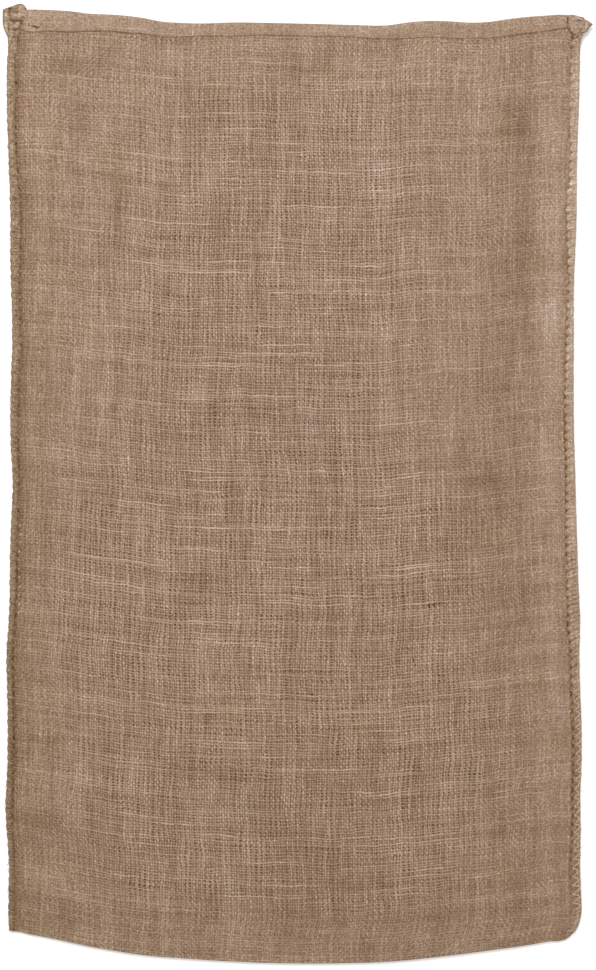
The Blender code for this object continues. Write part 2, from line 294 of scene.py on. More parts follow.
def hemRows(line, side):
    # tucked leg, half turn, outer leg, half turn over the mouth; flat distance is counted back from the mouth
    surface = frontHeight if side > 0 else backHeight
    pitch = lay["hemPitch"]
    top = lipUp(line, side)
    turnUp = top - endEdge(line, "hem") + pitch / 2
    legLength = top - turnUp
    mouthTurn, footTurn, steps = lay["mouthTurn"], lay["footTurn"], sheet["hem"][side]
    legs = []
    for share in np.linspace(0, 1, steps[0]):
        up = top - lay["tuckShort"] + (turnUp - top + lay["tuckShort"]) * share
        flat = -(2 * legLength + mouthTurn + footTurn) + (top - up)
        legs.append((up, surface(line, up) + side * pitch, flat))
    for angle in np.linspace(0, np.pi, steps[1] + 2)[1:-1]:
        lift = pitch + pitch / 2 * (1 - np.cos(angle))
        up = turnUp - pitch / 2 * np.sin(angle)
        flat = -(legLength + mouthTurn + footTurn) + footTurn * angle / np.pi
        legs.append((up, surface(line, turnUp) + side * lift, flat))
    for share in np.linspace(0, 1, steps[2]):
        up = turnUp + (top - turnUp) * share
        lift = 2 * pitch + hemPuff(line, up, share)
        legs.append((up, surface(line, up) + side * lift, up - top - mouthTurn))
    for angle in np.linspace(0, np.pi, steps[3] + 2)[1:-1]:
        lift = pitch * (1 + np.cos(angle))
        up = top + pitch * np.sin(angle)
        legs.append((up, surface(line, top) + side * lift, -mouthTurn + mouthTurn * angle / np.pi))
    return legs


def clothRows(line):
    # the whole path of the cloth: front hem, front, bottom fold, back, back hem
    rows = hemRows(line, 1)
    low = endEdge(line, "bottom")
    radius = layerGap(line, low) / 2
    foldUp = low + radius + lay["thickness"] / 2
    length, foldTurn = lay["face"], lay["foldTurn"]
    # the front: few rows behind the hem, and crowded ones below its fold
    top = lipUp(line, 1)
    foot = top - endEdge(line, "hem")
    ups = [top, (top + foot) / 2, foot + 1.0] + [foot - below for below in sheet["below"]]
    last = sheet["below"][-1]
    ups += [foot - last + (foldUp - foot + last) * share for share in np.linspace(0, 1, sheet["front"])[1:]]
    for up in ups:
        swell = lay["hemSwell"] * bell(foot - up - lay["swellBelow"], lay["swellHalf"])
        rows.append((up, frontHeight(line, up) + swell, length * (top - up) / (top - foldUp)))
    foldHeight = frontHeight(line, foldUp)
    for angle in np.linspace(0, np.pi, sheet["fold"])[1:-1]:
        up = foldUp - radius * np.sin(angle)
        height = foldHeight - radius * (1 - np.cos(angle))
        rows.append((up, height, length + foldTurn * angle / np.pi + 0 * line))
    flatEnd = 2 * length + foldTurn
    for share in np.linspace(1, 0, sheet["back"]):
        top = lipUp(line, -1)
        up = top + (foldUp - top) * share
        rows.append((up, backHeight(line, up), flatEnd - length * share + 0 * line))
    rows += [(up, height, flatEnd - flat) for up, height, flat in reversed(hemRows(line, -1))]
    return [np.stack([part + 0 * line for part in parts]) for parts in zip(*rows)]


def newPiece(name, places, faces, uvName, uvs):
    # a smooth mesh of places in mm, each with a place on the flat cloth or along the cord in metres
    mesh = bpy.data.meshes.new(name)
    mesh.from_pydata((places.reshape(-1, 3) * mm).tolist(), [], faces)
    corners = np.empty(len(mesh.loops), dtype=np.int32)
    mesh.loops.foreach_get("vertex_index", corners)
    layer = mesh.uv_layers.new(name=uvName)
    layer.data.foreach_set("uv", uvs.reshape(-1, 2)[corners].ravel())
    mesh.shade_smooth()
    mesh.update()
    piece = bpy.data.objects.new(name, mesh)
    bpy.context.scene.collection.objects.link(piece)
    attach(piece, "root")
    return piece


def keepOn(piece, name, values):
    # one number for each point, for a material to read
    piece.data.attributes.new(name, "FLOAT", "POINT").data.foreach_set("value", values)


def makePiece(name, points, uvs, shares, closeAcross=False):
    # a grid of points, rows by columns, as quads; every row can close on itself, and its ends are then capped
    rowCount, columnCount = points.shape[:2]
    index = np.arange(rowCount * columnCount).reshape(rowCount, columnCount)
    nextColumn = np.roll(index, -1, axis=1) if closeAcross else index[:, 1:]
    thisColumn = index if closeAcross else index[:, :-1]
    quads = np.stack([thisColumn[:-1], nextColumn[:-1], nextColumn[1:], thisColumn[1:]], axis=-1)
    faces = quads.reshape(-1, 4).tolist()
    if closeAcross:
        faces += [index[0, ::-1].tolist(), index[-1].tolist()]
    piece = newPiece(name, points, faces, "flatCloth", uvs * mm)
    for shareName, values in shares.items():
        keepOn(piece, shareName, np.broadcast_to(values, (rowCount, columnCount)).ravel())
    return piece


def makeTubes(name, paths, radii, sides, reference):
    # round cords, one for each path: paths by steps by 3; at each step a ring stands square to the path,
    # turned from the reference direction, and both ends are capped
    along = np.gradient(paths, axis=1)
    along = along / np.linalg.norm(along, axis=-1, keepdims=True)
    sideways = np.cross(along, np.asarray(reference, float))
    sideways = sideways / np.linalg.norm(sideways, axis=-1, keepdims=True)
    lift = np.cross(along, sideways)
    angle = np.linspace(0, 2 * np.pi, sides, endpoint=False)
    radii = np.broadcast_to(radii, paths.shape[:2])[..., None, None]
    rings = (paths[:, :, None] + radii * (np.cos(angle)[:, None] * sideways[:, :, None]
                                          + np.sin(angle)[:, None] * lift[:, :, None]))
    count, steps = paths.shape[:2]
    index = np.arange(count * steps * sides).reshape(count, steps, sides)
    around = np.roll(index, -1, axis=2)
    quads = np.stack([index[:, :-1], around[:, :-1], around[:, 1:], index[:, 1:]], axis=-1)
    faces = quads.reshape(-1, 4).tolist() + index[:, 0, ::-1].tolist() + index[:, -1].tolist()
    # flat distance along the cord, starting elsewhere on each, and once around it
    length = np.cumsum(np.linalg.norm(np.diff(paths, axis=1, prepend=paths[:, :1]), axis=-1), axis=1)
    start = 37.0 * np.arange(count)[:, None, None]
    uvs = np.stack(np.broadcast_arrays(length[..., None] + start, np.arange(sides) / sides), axis=-1)
    return newPiece(name, rings, faces, "alongCord", uvs * np.array([mm, 1.0]))


def linear(hexColour):
    # sRGB to linear: the standard's straight toe, then its 2.4 power
    parts = [int(hexColour[i:i + 2], 16) / 255 for i in (1, 3, 5)]
    return tuple(p / 12.92 if p <= 0.04045 else ((p + 0.055) / 1.055) ** 2.4 for p in parts) + (1.0,)


def newMaterial(name):
    material = bpy.data.materials.new(name)
    material.use_nodes = True
    tree = material.node_tree
    tree.nodes.clear()

    def add(kind, *values, **settings):
        # one node: its kind and, after a space, its operation; then what its sockets take, in order or in one
        # dictionary by name or number, as values or as links from other nodes; then its other settings
        kind, _, operation = kind.partition(" ")
        made = tree.nodes.new("ShaderNode" + kind)
        if operation:
            made.operation = operation
        for key, value in settings.items():
            setattr(made, key, value)
        named = values and isinstance(values[0], dict)
        for key, value in values[0].items() if named else enumerate(values):
            if isinstance(value, bpy.types.Node):
                value = value.outputs[0]
            if isinstance(value, bpy.types.NodeSocket):
                tree.links.new(value, made.inputs[key])
            else:
                made.inputs[key].default_value = value
        return made

    return material, add


# woven jute: matt, hairy, uneven yarn, a double warp and a single weft, with painted shade in the holes
# between them
weave = {
    "endPitch": 2.68,      # mm, two ends run side by side in each pair
    "pickPitch": 3.04,
    "lean": -0.10,         # 0 is an even checkerboard, 0.5 a single diagonal
    "alternate": 0.17,     # how much darker the cloth is where the weft is on top
    "pairing": 0.11,       # share of the pitch that the two ends of a pair lean together
    "warpHalf": (0.85, 1.35),   # half widths of thin and thick places
    "weftHalf": (0.70, 1.30),
    "stray": (1.9, 1.6),        # how far one yarn keeps to the side of its place for a long way
    "sway": (0.8, 0.8),         # and how far it and its neighbours sway together
    "wander": (5.5, 6.5),       # mm that whole areas of ends and picks wander
    "thickRun": (45, 110),      # mm along an end or a pick from one thick place to the next
    "under": 0.33,              # share of its height that a yarn loses where the other one is on top
    "crevice": (0.59, 1.18),    # share of the light in a crevice and on top of a yarn
    "pale": (0.45, 0.74),       # how much of the straight pale ends and picks shows
    "grain": 0.31,              # shares of the light that go up and down: with hairs and bark,
    "felt": 0.30,               # with matted hairs where the weave is tight,
    "crossing": 0.13,           # from one crossing to the next,
    "banding": 0.20,            # from one band of yarns to the next,
    "mottle": 0.035,            # and over a hand's width
    "dark": "#735B47",
    "middle": "#8E7764",
    "light": "#9D8673",
    "slub": "#AE9783",     # thin pale yarn that lies straight and shines a little
    # where the four tones stand in a yarn's noise
    "warpTones": (0.20, 0.50, 0.70, 0.82),
    "weftTones": (0.08, 0.50, 0.82, 0.96),
    "hole": "#46301E",     # painted shade: the dark inside that shows between the yarns
    "deepest": 0.26,       # share of its own brightness that cloth keeps under the deepest painted shade
    "roughness": 0.92,
    "specular": 0.2,
    "bump": 0.0007,        # metres
    # painted shadow lines: how far from the roll or the hem's foot they lie, then from where to where they
    # fade, in mm
    "grooveLine": (1.4, 0.2, 2.7),
    "hemLine": (0.7, 0.3, 1.5),
    "browning": (0.80, 1.0, 1.22),      # powers of the light that red, green and blue follow
    "reddening": (0.04, 0.0, -0.17),    # painted redder light: what deep places gain in red and lose in blue
}


def wovenJute(name, holeStrength, blotch=0.0, tint=(1.0, 1.0, 1.0), marks=()):
    material, add = newMaterial(name)
    here = add("TexCoord").outputs["Object"]
    flat = add("UVMap", uv_map="flatCloth")
    place = add("VectorMath MULTIPLY", flat, (1000.0, 1000.0, 0.0))   # mm on the flat cloth
    openShare, shade, fromRoll, stitchPhase, grooveDark, fromHem, hemDark, hemSide, front, brown = (
        add("Attribute", attribute_name=kept).outputs["Fac"]
        for kept in ("openness", "shade", "fromRoll", "stitchPhase", "grooveDark", "fromHem", "hemDark",
                     "hemSide", "front", "brown"))

    def uneven(lengths, detail, roughness, reach, middle=1.0, span=0.2):
        # noise with grains this long in mm, across and up the cloth; where it is a span away from a half, the
        # result is the reach away from the middle
        stretched = add("VectorMath MULTIPLY", place, (1 / lengths[0], 1 / lengths[1], 0.0))
        noise = add("TexNoise", {"Vector": stretched, "Scale": 1.0, "Detail": detail, "Roughness": roughness})
        return add("MapRange", noise, 0.5 - span, 0.5 + span, middle - reach, middle + reach)

    def browner(share):
        # what is darker is browner too: red falls less and blue more
        return add("CombineXYZ", *(add("Math POWER", share, power) for power in weave["browning"]))

    # the yarns are counted, warp in x and weft in y, after both have wandered a little together
    wander = add("TexNoise", {"Vector": place, "Scale": 0.03, "Detail": 3.0, "Roughness": 0.6})
    wandered = add("VectorMath MULTIPLY_ADD", wander.outputs["Color"], (*weave["wander"], 0.0), place)
    count = add("VectorMath MULTIPLY", wandered, (1 / weave["endPitch"], 1 / weave["pickPitch"], 0.0))
    number = add("VectorMath FLOOR", count)
    inside = add("VectorMath FRACTION", count)
    index = add("SeparateXYZ", number)
    # thick and thin places: noise read along each yarn, far apart for each yarn number
    spot = add("SeparateXYZ", place)
    yarns = []
    for axis, along, length, first in zip("XY", "YX", weave["thickRun"], (0.0, 500.0)):
        draw = add("TexWhiteNoise", {"W": add("Math ADD", index.outputs[axis], first)}, noise_dimensions="1D")
        run = add("CombineXYZ", {along: add("Math MULTIPLY", spot.outputs[along], 1 / length)})
        seat = add("VectorMath MULTIPLY_ADD", draw.outputs["Color"], (90.0, 90.0, 90.0), run)
        noise = add("TexNoise", {"Vector": seat, "Scale": 1.0, "Detail": 2.0, "Roughness": 0.55})
        yarns.append(add("SeparateColor", noise.outputs["Color"]).outputs)
    warp, weft = yarns
    widths = add("CombineXYZ", warp[2], weft[2], 0.0)
    # distance from the middle of the yarn in mm: the two ends of a pair lean together, and all stray and sway
    parity = add("Math FLOORED_MODULO", index.outputs["X"], 2.0)
    paired = add("Math MULTIPLY_ADD", parity, 2 * weave["pairing"], -weave["pairing"] - 0.5)
    centred = add("VectorMath ADD", inside, add("CombineXYZ", paired, -0.5, 0.0))
    offset = add("VectorMath MULTIPLY", centred, (weave["endPitch"], weave["pickPitch"], 0.0))
    strays = add("VectorMath SUBTRACT", add("CombineXYZ", warp[1], weft[1], 0.0), (0.5, 0.5, 0.0))
    strayed = add("VectorMath MULTIPLY_ADD", strays, (*(2 * stray for stray in weave["stray"]), 0.0), offset)
    sways = [uneven(lengths, 1.0, 0.5, sway, middle=0.0, span=0.5)
             for lengths, sway in zip(((6, 17), (15, 6)), weave["sway"])]
    away = add("VectorMath ABSOLUTE", add("VectorMath ADD", strayed, add("CombineXYZ", *sways, 0.0)))
    # share of the way from the middle of the yarn to its side
    half = add("MapRange", {"Vector": widths, 7: (0.3, 0.3, 0.0), 8: (0.7, 0.7, 1.0),
                            9: (weave["warpHalf"][0], weave["weftHalf"][0], 1.0),
                            10: (weave["warpHalf"][1], weave["weftHalf"][1], 1.0)}, data_type="FLOAT_VECTOR")
    share = add("SeparateXYZ", add("VectorMath DIVIDE", away, half.outputs["Vector"]))
    # plain weave: sine of the end count times sine of the pick count is 1 where the warp is on top and -1
    # where the weft is; as two diagonal waves, so that one can be stronger, for the twist leans every float
    swing = add("SeparateXYZ", add("VectorMath MULTIPLY", count, (math.pi, math.pi, 0.0)))
    rising, falling = (add("Math COSINE", add("Math " + way, swing.outputs["X"], swing.outputs["Y"]))
                       for way in ("ADD", "SUBTRACT"))
    tight = add("Math SUBTRACT", 1.0, openShare, use_clamp=True)
    leant = add("Math MULTIPLY", uneven((36, 36), 1.0, 0.5, 0.5, middle=0.0, span=0.12), tight)
    both = add("Math ADD", rising, falling)
    even = add("Math MULTIPLY", add("Math SUBTRACT", falling, rising), 0.5)
    over = add("Math SUBTRACT", even, add("Math MULTIPLY", both, add("Math ADD", leant, weave["lean"])))
    # how high each yarn stands: one less the square of its share, and lower where the other yarn is on top
    tops = []
    for axis, swap in (("X", weave["under"]), ("Y", -weave["under"])):
        squared = add("Math POWER", share.outputs[axis], 2.0)
        rounded = add("Math MULTIPLY_ADD", squared, -1.0, 1.0, use_clamp=True)
        tops.append(add("Math MULTIPLY", rounded, add("Math MULTIPLY_ADD", over, swap, 1 - weave["under"])))
    cover = add("Math SMOOTH_MAX", *tops, 0.05)
    dimmed = add("Math MULTIPLY_ADD", over, weave["alternate"], cover)
    opened = add("Math MULTIPLY_ADD", openShare, 0.5, 0.5)
    # yarn colours by their noise, warp and then weft
    shades = []
    for yarn, stops in ((warp, weave["warpTones"]), (weft, weave["weftTones"])):
        ramp = add("ValToRGB", yarn[0])
        bar = ramp.color_ramp.elements
        bar[0].position, bar[1].position = stops[0], stops[3]
        for stop in stops[1:3]:
            bar.new(stop)
        for element, tone in zip(bar, ("dark", "middle", "light", "slub")):
            element.color = linear(weave[tone])
        shades.append(ramp)
    warpShows = add("MapRange", add("Math SUBTRACT", *tops), -0.08, 0.08)
    yarnColour = add("Mix", {0: warpShows, 6: shades[1], 7: shades[0]}, data_type="RGBA").outputs[2]
    # the sides of a yarn turn away from the light and lie in its neighbour's shadow
    crevice = add("MapRange", dimmed, 0.05, 0.95, *weave["crevice"])
    relief = add("Mix", {0: opened, 2: 1.0, 3: crevice}, data_type="FLOAT")
    colourShare = add("Math MULTIPLY_ADD", opened, 0.4, 0.6)
    softened = add("Mix", {0: colourShare, 6: linear(weave["middle"]), 7: yarnColour}, data_type="RGBA")
    yarnShade = add("VectorMath MULTIPLY", softened.outputs[2], browner(relief))
    # open holes where neither yarn covers, painted dark for the shade behind them, in patches, and none where
    # the cloth lies on more cloth
    patchy = uneven((24, 24), 3.0, 0.6, 0.225, middle=0.725, span=0.12)
    depth = add("Math MULTIPLY", add("Math MULTIPLY", opened, patchy), holeStrength)
    bare = add("Math MULTIPLY", add("MapRange", dimmed, 0.02, 0.45, 1.0, 0.0), depth)
    holed = add("Mix", {0: bare, 6: yarnShade, 7: linear(weave["hole"])}, data_type="RGBA").outputs[2]
    # straight pale threads that lie on top of the rest
    paleMask, paleLine = (
        add("MapRange", {"Vector": read, 7: low, 8: high, 9: atLow, 10: atHigh}, data_type="FLOAT_VECTOR")
        for read, low, high, atLow, atHigh in (
            (widths, (0.63, 0.60, 0.0), (0.70, 0.66, 1.0), (0.0, 0.0, 0.0), (*weave["pale"], 0.0)),
            (away, (0.2, 0.2, 0.0), (0.65, 0.65, 1.0), (1.0, 1.0, 0.0), (0.0, 0.0, 0.0))))
    pales = add("VectorMath MULTIPLY", paleMask.outputs["Vector"], paleLine.outputs["Vector"])
    pale = add("SeparateXYZ", pales)
    paler = add("Math MULTIPLY", add("Math MAXIMUM", pale.outputs["X"], pale.outputs["Y"]),
                add("Math MULTIPLY_ADD", tight, -0.5, 1.0))
    withPale = add("Mix", {0: paler, 6: holed, 7: linear(weave["slub"])}, data_type="RGBA").outputs[2]
    # painted shadow in the groove beside a sewn edge: its distance from the roll and its depth swing with
    # every stitch
    pull = add("Math COSINE", stitchPhase)
    lies, *fade = weave["grooveLine"]
    grooveAway = add("Math ABSOLUTE", add("Math ADD", pull, add("Math SUBTRACT", fromRoll, lies)))
    groove = add("MapRange", grooveAway, *fade, 1.0, 0.0, interpolation_type="SMOOTHSTEP")
    pulled = add("Math MULTIPLY", add("Math MULTIPLY_ADD", pull, 0.32, 0.64),
                 uneven((6, 9), 3.0, 0.7, 0.40, middle=0.85, span=0.15))
    grooveShadow = add("Math MULTIPLY", add("Math MULTIPLY", groove, pulled), grooveDark)
    # and a fainter painted shadow line under the fold of the hem, coming and going
    lies, *fade = weave["hemLine"]
    hemAway = add("Math ABSOLUTE", add("Math SUBTRACT", fromHem, lies))
    hemLine = add("MapRange", hemAway, *fade, 1.0, 0.0, interpolation_type="SMOOTHSTEP")
    hemUneven = uneven((6, 6), 3.0, 0.7, 0.6, middle=0.8, span=0.15)
    hemShadow = add("Math MULTIPLY", add("Math MULTIPLY", hemLine, hemUneven), hemDark)
    lit = add("Math SUBTRACT", add("Math SUBTRACT", shade, grooveShadow), hemShadow)
    # what multiplies the colour: the painted light and shade kept on the piece, hairs and bits of bark as
    # grain, mottling, a share for every crossing, and bands of a few ends or picks for a hand's length or
    # more
    grain = add("TexNoise", {"Vector": place, "Scale": 0.55, "Detail": 3.0, "Roughness": 0.8})
    crossing = add("TexWhiteNoise", {"Vector": number}, noise_dimensions="2D")
    bands = (uneven(lengths, 2.0, 0.5, 0.5, middle=0.5, span=0.5) for lengths in ((14, 150), (130, 14)))
    shares = [
        add("Math MAXIMUM", lit, weave["deepest"]),
        add("MapRange", grain, 0.25, 0.75, 1 - weave["grain"], 1 + weave["grain"]),
        uneven((60, 60), 3.0, 0.55, weave["mottle"]),
        add("MapRange", crossing, 0.0, 1.0, 1 - weave["crossing"], 1 + weave["crossing"]),
        add("MapRange", add("Math ADD", *bands), 0.6, 1.4, 1 - weave["banding"], 1 + weave["banding"]),
        # where the weave is drawn tight its hairs are matted over it
        add("Mix", {0: tight, 2: 1.0, 3: uneven((1.7, 2.3), 1.5, 0.6, weave["felt"])}, data_type="FLOAT"),
    ]
    if blotch:
        shares.append(uneven((4.5, 4.5), 3.0, 0.65, 1.6 * blotch))
    if marks:
        # small stains and pale spots, painted shade in slits and creases and painted light on ridges: each
        # fades out from its own place, only on the front
        total = 0.0
        for across, up, halfWidth, halfLength, tone in marks:
            scale = (1 / (halfWidth * mm), 1 / (halfLength * mm), 0.0)
            centre = ((across + middleAcross) * mm * scale[0], (up + bottomAlong) * mm * scale[1], 0.0)
            off = add("VectorMath SUBTRACT", add("VectorMath MULTIPLY", here, scale), centre)
            apart = add("VectorMath LENGTH", off).outputs["Value"]
            mark = add("MapRange", apart, 0.2, 1.7, tone, 0.0, interpolation_type="SMOOTHSTEP")
            total = add("Math ADD", mark, total)
        shares.append(add("Math MAXIMUM", add("Math MULTIPLY_ADD", total, front, 1.0), weave["deepest"]))
    factor = shares[0]
    for other in shares[1:]:
        factor = add("Math MULTIPLY", factor, other)
    # the lower half is a little yellower, and so are patches of the rest
    yellow = add("MapRange", add("SeparateXYZ", here).outputs["Y"], 0.1, -0.5, tint[2], tint[2] * 0.97)
    tawny = add("Math MULTIPLY", yellow, uneven((45, 45), 4.0, 0.6, 0.035))
    aged = add("VectorMath MULTIPLY", browner(factor), add("CombineXYZ", tint[0], tint[1], tawny))
    # light that has gone in and out of a crevice is redder, so beside the rolls and the hem the cloth is
    # painted redder too
    hemNear = add("Math MULTIPLY", add("MapRange", hemAway, 0.5, 1.7, 0.7, 0.0), hemSide)
    deep = add("Math MAXIMUM", add("Math MULTIPLY", groove, grooveDark), hemNear)
    deep = add("Math MAXIMUM", deep, brown, use_clamp=True)
    reddened = add("VectorMath MULTIPLY_ADD", deep, weave["reddening"], (1.0, 1.0, 1.0))
    coloured = add("VectorMath MULTIPLY", add("VectorMath MULTIPLY", withPale, aged), reddened)
    height = add("Math MULTIPLY_ADD", grain, 0.3, cover)
    bump = add("Bump", {"Height": height, "Strength": 0.6, "Distance": weave["bump"]})
    shader = add("BsdfPrincipled", {"Base Color": coloured, "Roughness": weave["roughness"], "Normal": bump,
                                    "Specular IOR Level": weave["specular"]})
    add("OutputMaterial", {"Surface": shader})
    return material


# front, back and hem in one sheet
print("making the cloth")
steps = np.linspace(-1, 1, sheet["columns"])
crowded = (1 - sheet["edgeShare"]) * steps + sheet["edgeShare"] * np.sin(np.pi * steps / 2)
line = outline["width"] / 2 * (1 + crowded)
up, height, flat = clothRows(line)
across = acrossAt(line[None, :] + 0 * up, up)
clothPoints = placed(across, up, height)
# how the weave is drawn: mm from either edge to where it is half open, and over how many mm it opens there,
# more above the middle
drawn = {
    "up": [139, 203, 268, 332, 396, 460, 525, 588, 653, 717, 781, 844, 910],
    "left": [95, 74, 82, 50, 44, 44, 80, 115, 122, 108, 124, 154, 168],
    "right": [119, 90, 84, 120, 110, 105, 160, 188, 182, 168, 150, 165, 172],
    "middle": 480.0,
    "fade": 100.0, "fadeMore": 70.0, "fadeRamp": 200.0,
    "spread": 7.0, "spreadRamp": 420.0,         # the ends stand wider apart near the sewn edges
    "foldGap": 28.0, "foldRamp": 62.0,          # tight near the bottom fold
    "hemGap": 12.0, "hemRamp": 120.0,           # and near the hem
    "rightFlat": 0.45, "rightHalf": 45.0,       # along the right edge the yarns lie flatter still
    "hemFlat": -0.7,                            # in the hem the yarns are pressed flat and show little relief
}
inLeft, inRight = line[None, :], outline["width"] - line[None, :]
spread = drawn["spread"] * np.sin(2 * np.pi * inLeft / outline["width"])
clothUvs = np.stack([inLeft - spread * ease((up - drawn["middle"]) / drawn["spreadRamp"]), flat], axis=-1)
fade = drawn["fade"] + drawn["fadeMore"] * ease((up - drawn["middle"]) / drawn["fadeRamp"])
openness = 1.0
for name, inward in (("left", inLeft), ("right", inRight)):
    openness = openness * ease((inward - curveThrough(drawn["up"], drawn[name], up)) / fade + 0.5)
hemFoot = endEdge(line, "mouth") - endEdge(line, "hem")
openness = openness * ease((up - endEdge(line, "bottom") - drawn["foldGap"]) / drawn["foldRamp"])
openness = openness * ease((hemFoot - up + drawn["hemGap"]) / drawn["hemRamp"])
openness = openness - drawn["rightFlat"] * bell(inRight, drawn["rightHalf"])
openness = np.where((flat > 0) & (flat < 2 * lay["face"] + lay["foldTurn"]), openness, drawn["hemFlat"])
# darker and paler patches, partly painted shade and light along the folds and towards the bottom, partly the
# yarn's own tone: across, up, half width, half length, share of the brightness
patches = np.array([
    (240, 884, 13, 30, -.13), (243, 774, 13, 28, -.11), (240, 705, 13, 55, -.05), (271, 805, 15, 180, .06),
    (269, 679, 18, 28, .05), (267, 521, 14, 40, .05), (267, 374, 14, 40, .05), (258, 207, 45, 12, .05),
    (-226, 890, 13, 20, -.10), (-184, 800, 11, 38, -.08), (-242, 951, 20, 10, -.08), (-205, 944, 45, 6, -.05),
    (-255, 769, 18, 10, -.06), (32, 951, 10, 8, -.07), (88, 953, 20, 6, -.05), (90, 821, 16, 32, .08),
    (93, 890, 14, 22, .05), (-242, 816, 6, 28, .07), (-78, 842, 20, 14, .05), (-226, 637, 14, 11, .07),
    (-57, 745, 34, 5, -.07), (-42, 711, 10, 22, -.05), (-17, 721, 8, 55, .05), (-105, 556, 50, 5, -.05),
    (53, 555, 58, 6, -.06), (195, 511, 20, 18, -.11), (200, 474, 28, 38, -.05), (27, 463, 15, 12, -.07),
    (98, 363, 5, 80, .05), (90, 237, 12, 12, -.12), (84, 184, 4, 60, -.05), (-257, 237, 28, 6, -.08),
    (-200, 224, 28, 6, -.07), (-136, 210, 28, 6, -.07), (-84, 202, 24, 6, -.05), (-210, 195, 60, 20, .06),
    (-73, 163, 36, 18, .06), (-57, 116, 30, 30, .04), (-263, 150, 26, 18, -.09), (-263, 112, 8, 12, -.07),
    (153, 379, 16, 5, -.06), (243, 395, 10, 30, -.05), (6, 132, 30, 14, -.05), (232, 100, 20, 30, -.05),
    (-142, 34, 28, 8, -.05), (-269, 858, 8, 76, .05), (-67, 880, 10, 8, .04), (82, 862, 18, 88, .03),
    (69, 615, 6, 50, .04), (101, 586, 6, 26, .03), (69, 303, 16, 14, .04), (-282, 101, 7, 25, .05),
    (227, 154, 10, 10, -.05), (-270, 988, 20, 14, .03), (-285, 480, 34, 420, -.07), (226, 590, 32, 380, -.08),
    (170, 520, 40, 170, -.03), (0, 0, 900, 260, -.055), (30, 410, 26, 150, -.035), (-238, 800, 30, 100, -.03),
    (286, 905, 20, 42, .035), (290, 640, 20, 60, .02),
])
clothShade = np.ones_like(up)
isFront = (flat >= -lay["hemFlat"]) & (flat <= lay["face"])
for patchAcross, patchUp, halfWidth, halfLength, tone in patches:
    clothShade += isFront * tone * bell(across - patchAcross, halfWidth, up - patchUp, halfLength)
# painted shade beside the sewn edges: how far the nearer roll is and how dark the painted shadow in its
# groove is are kept
fromLeft = inLeft + seams["overhang"] - seamWidth(-1, up)
fromRight = inRight + seams["overhang"] - seamWidth(1, up)
leftSide = inLeft + 0 * up < outline["width"] / 2
fromRoll = np.where(leftSide, fromLeft, fromRight)
onLeft, onRight = (curveThrough(seams["up"], seams[name + "Groove"], up) for name in ("left", "right"))
onLeft = onLeft * rng.uniform(*seams["leftUneven"], (len(up), 1))
grooveDark = np.where(leftSide, onLeft, onRight)
# painted shade beside each sewn edge, deeper on the left
clothShade -= isFront * np.where(leftSide, *seams["dirt"]) * bell(np.maximum(fromRoll, 0), seams["edgeShadeHalf"])
# the painted shadow line under the hem: how dark it is from left to right
hemLine = {"across": [-300, -275, -262, -236, -205, -170, -160, -150, -126, -63, 0, 60, 100, 160, 190, 222,
                      254, 284, 290, 300],
           "dark": [.10, .30, .36, .42, .40, .36, .30, .04, .14, .10, .05, .06, .10, .08, .18, .10, .26,
                    .34, .55, .50]}
hemDark = np.interp(across, hemLine["across"], hemLine["dark"]) * ((flat >= 0) & (flat <= lay["face"]))
fromHem = lipUp(inLeft, 1) - endEdge(inLeft, "hem") - up
clothKept = {
    "openness": openness,
    "shade": clothShade ** 2.2,     # painted light and shade, from brightness as seen to the cloth's reflectance
    "fromRoll": fromRoll,
    "grooveDark": grooveDark * isFront,
    "stitchPhase": 2 * np.pi * up / seams["stitch"],
    "fromHem": fromHem,
    "hemDark": hemDark,
    "hemSide": isFront * 1.0,
    "front": isFront * 1.0,
    # painted redder light beside the left groove
    "brown": seams["brown"] * bell(np.maximum(fromLeft, 0), seams["brownHalf"]),
}
sackCloth = makePiece("sackCloth", clothPoints, clothUvs, clothKept)
thicken = sackCloth.modifiers.new("thickness", "SOLIDIFY")
thicken.thickness = lay["thickness"] * mm
thicken.offset = 0.0
thicken.use_even_offset = True
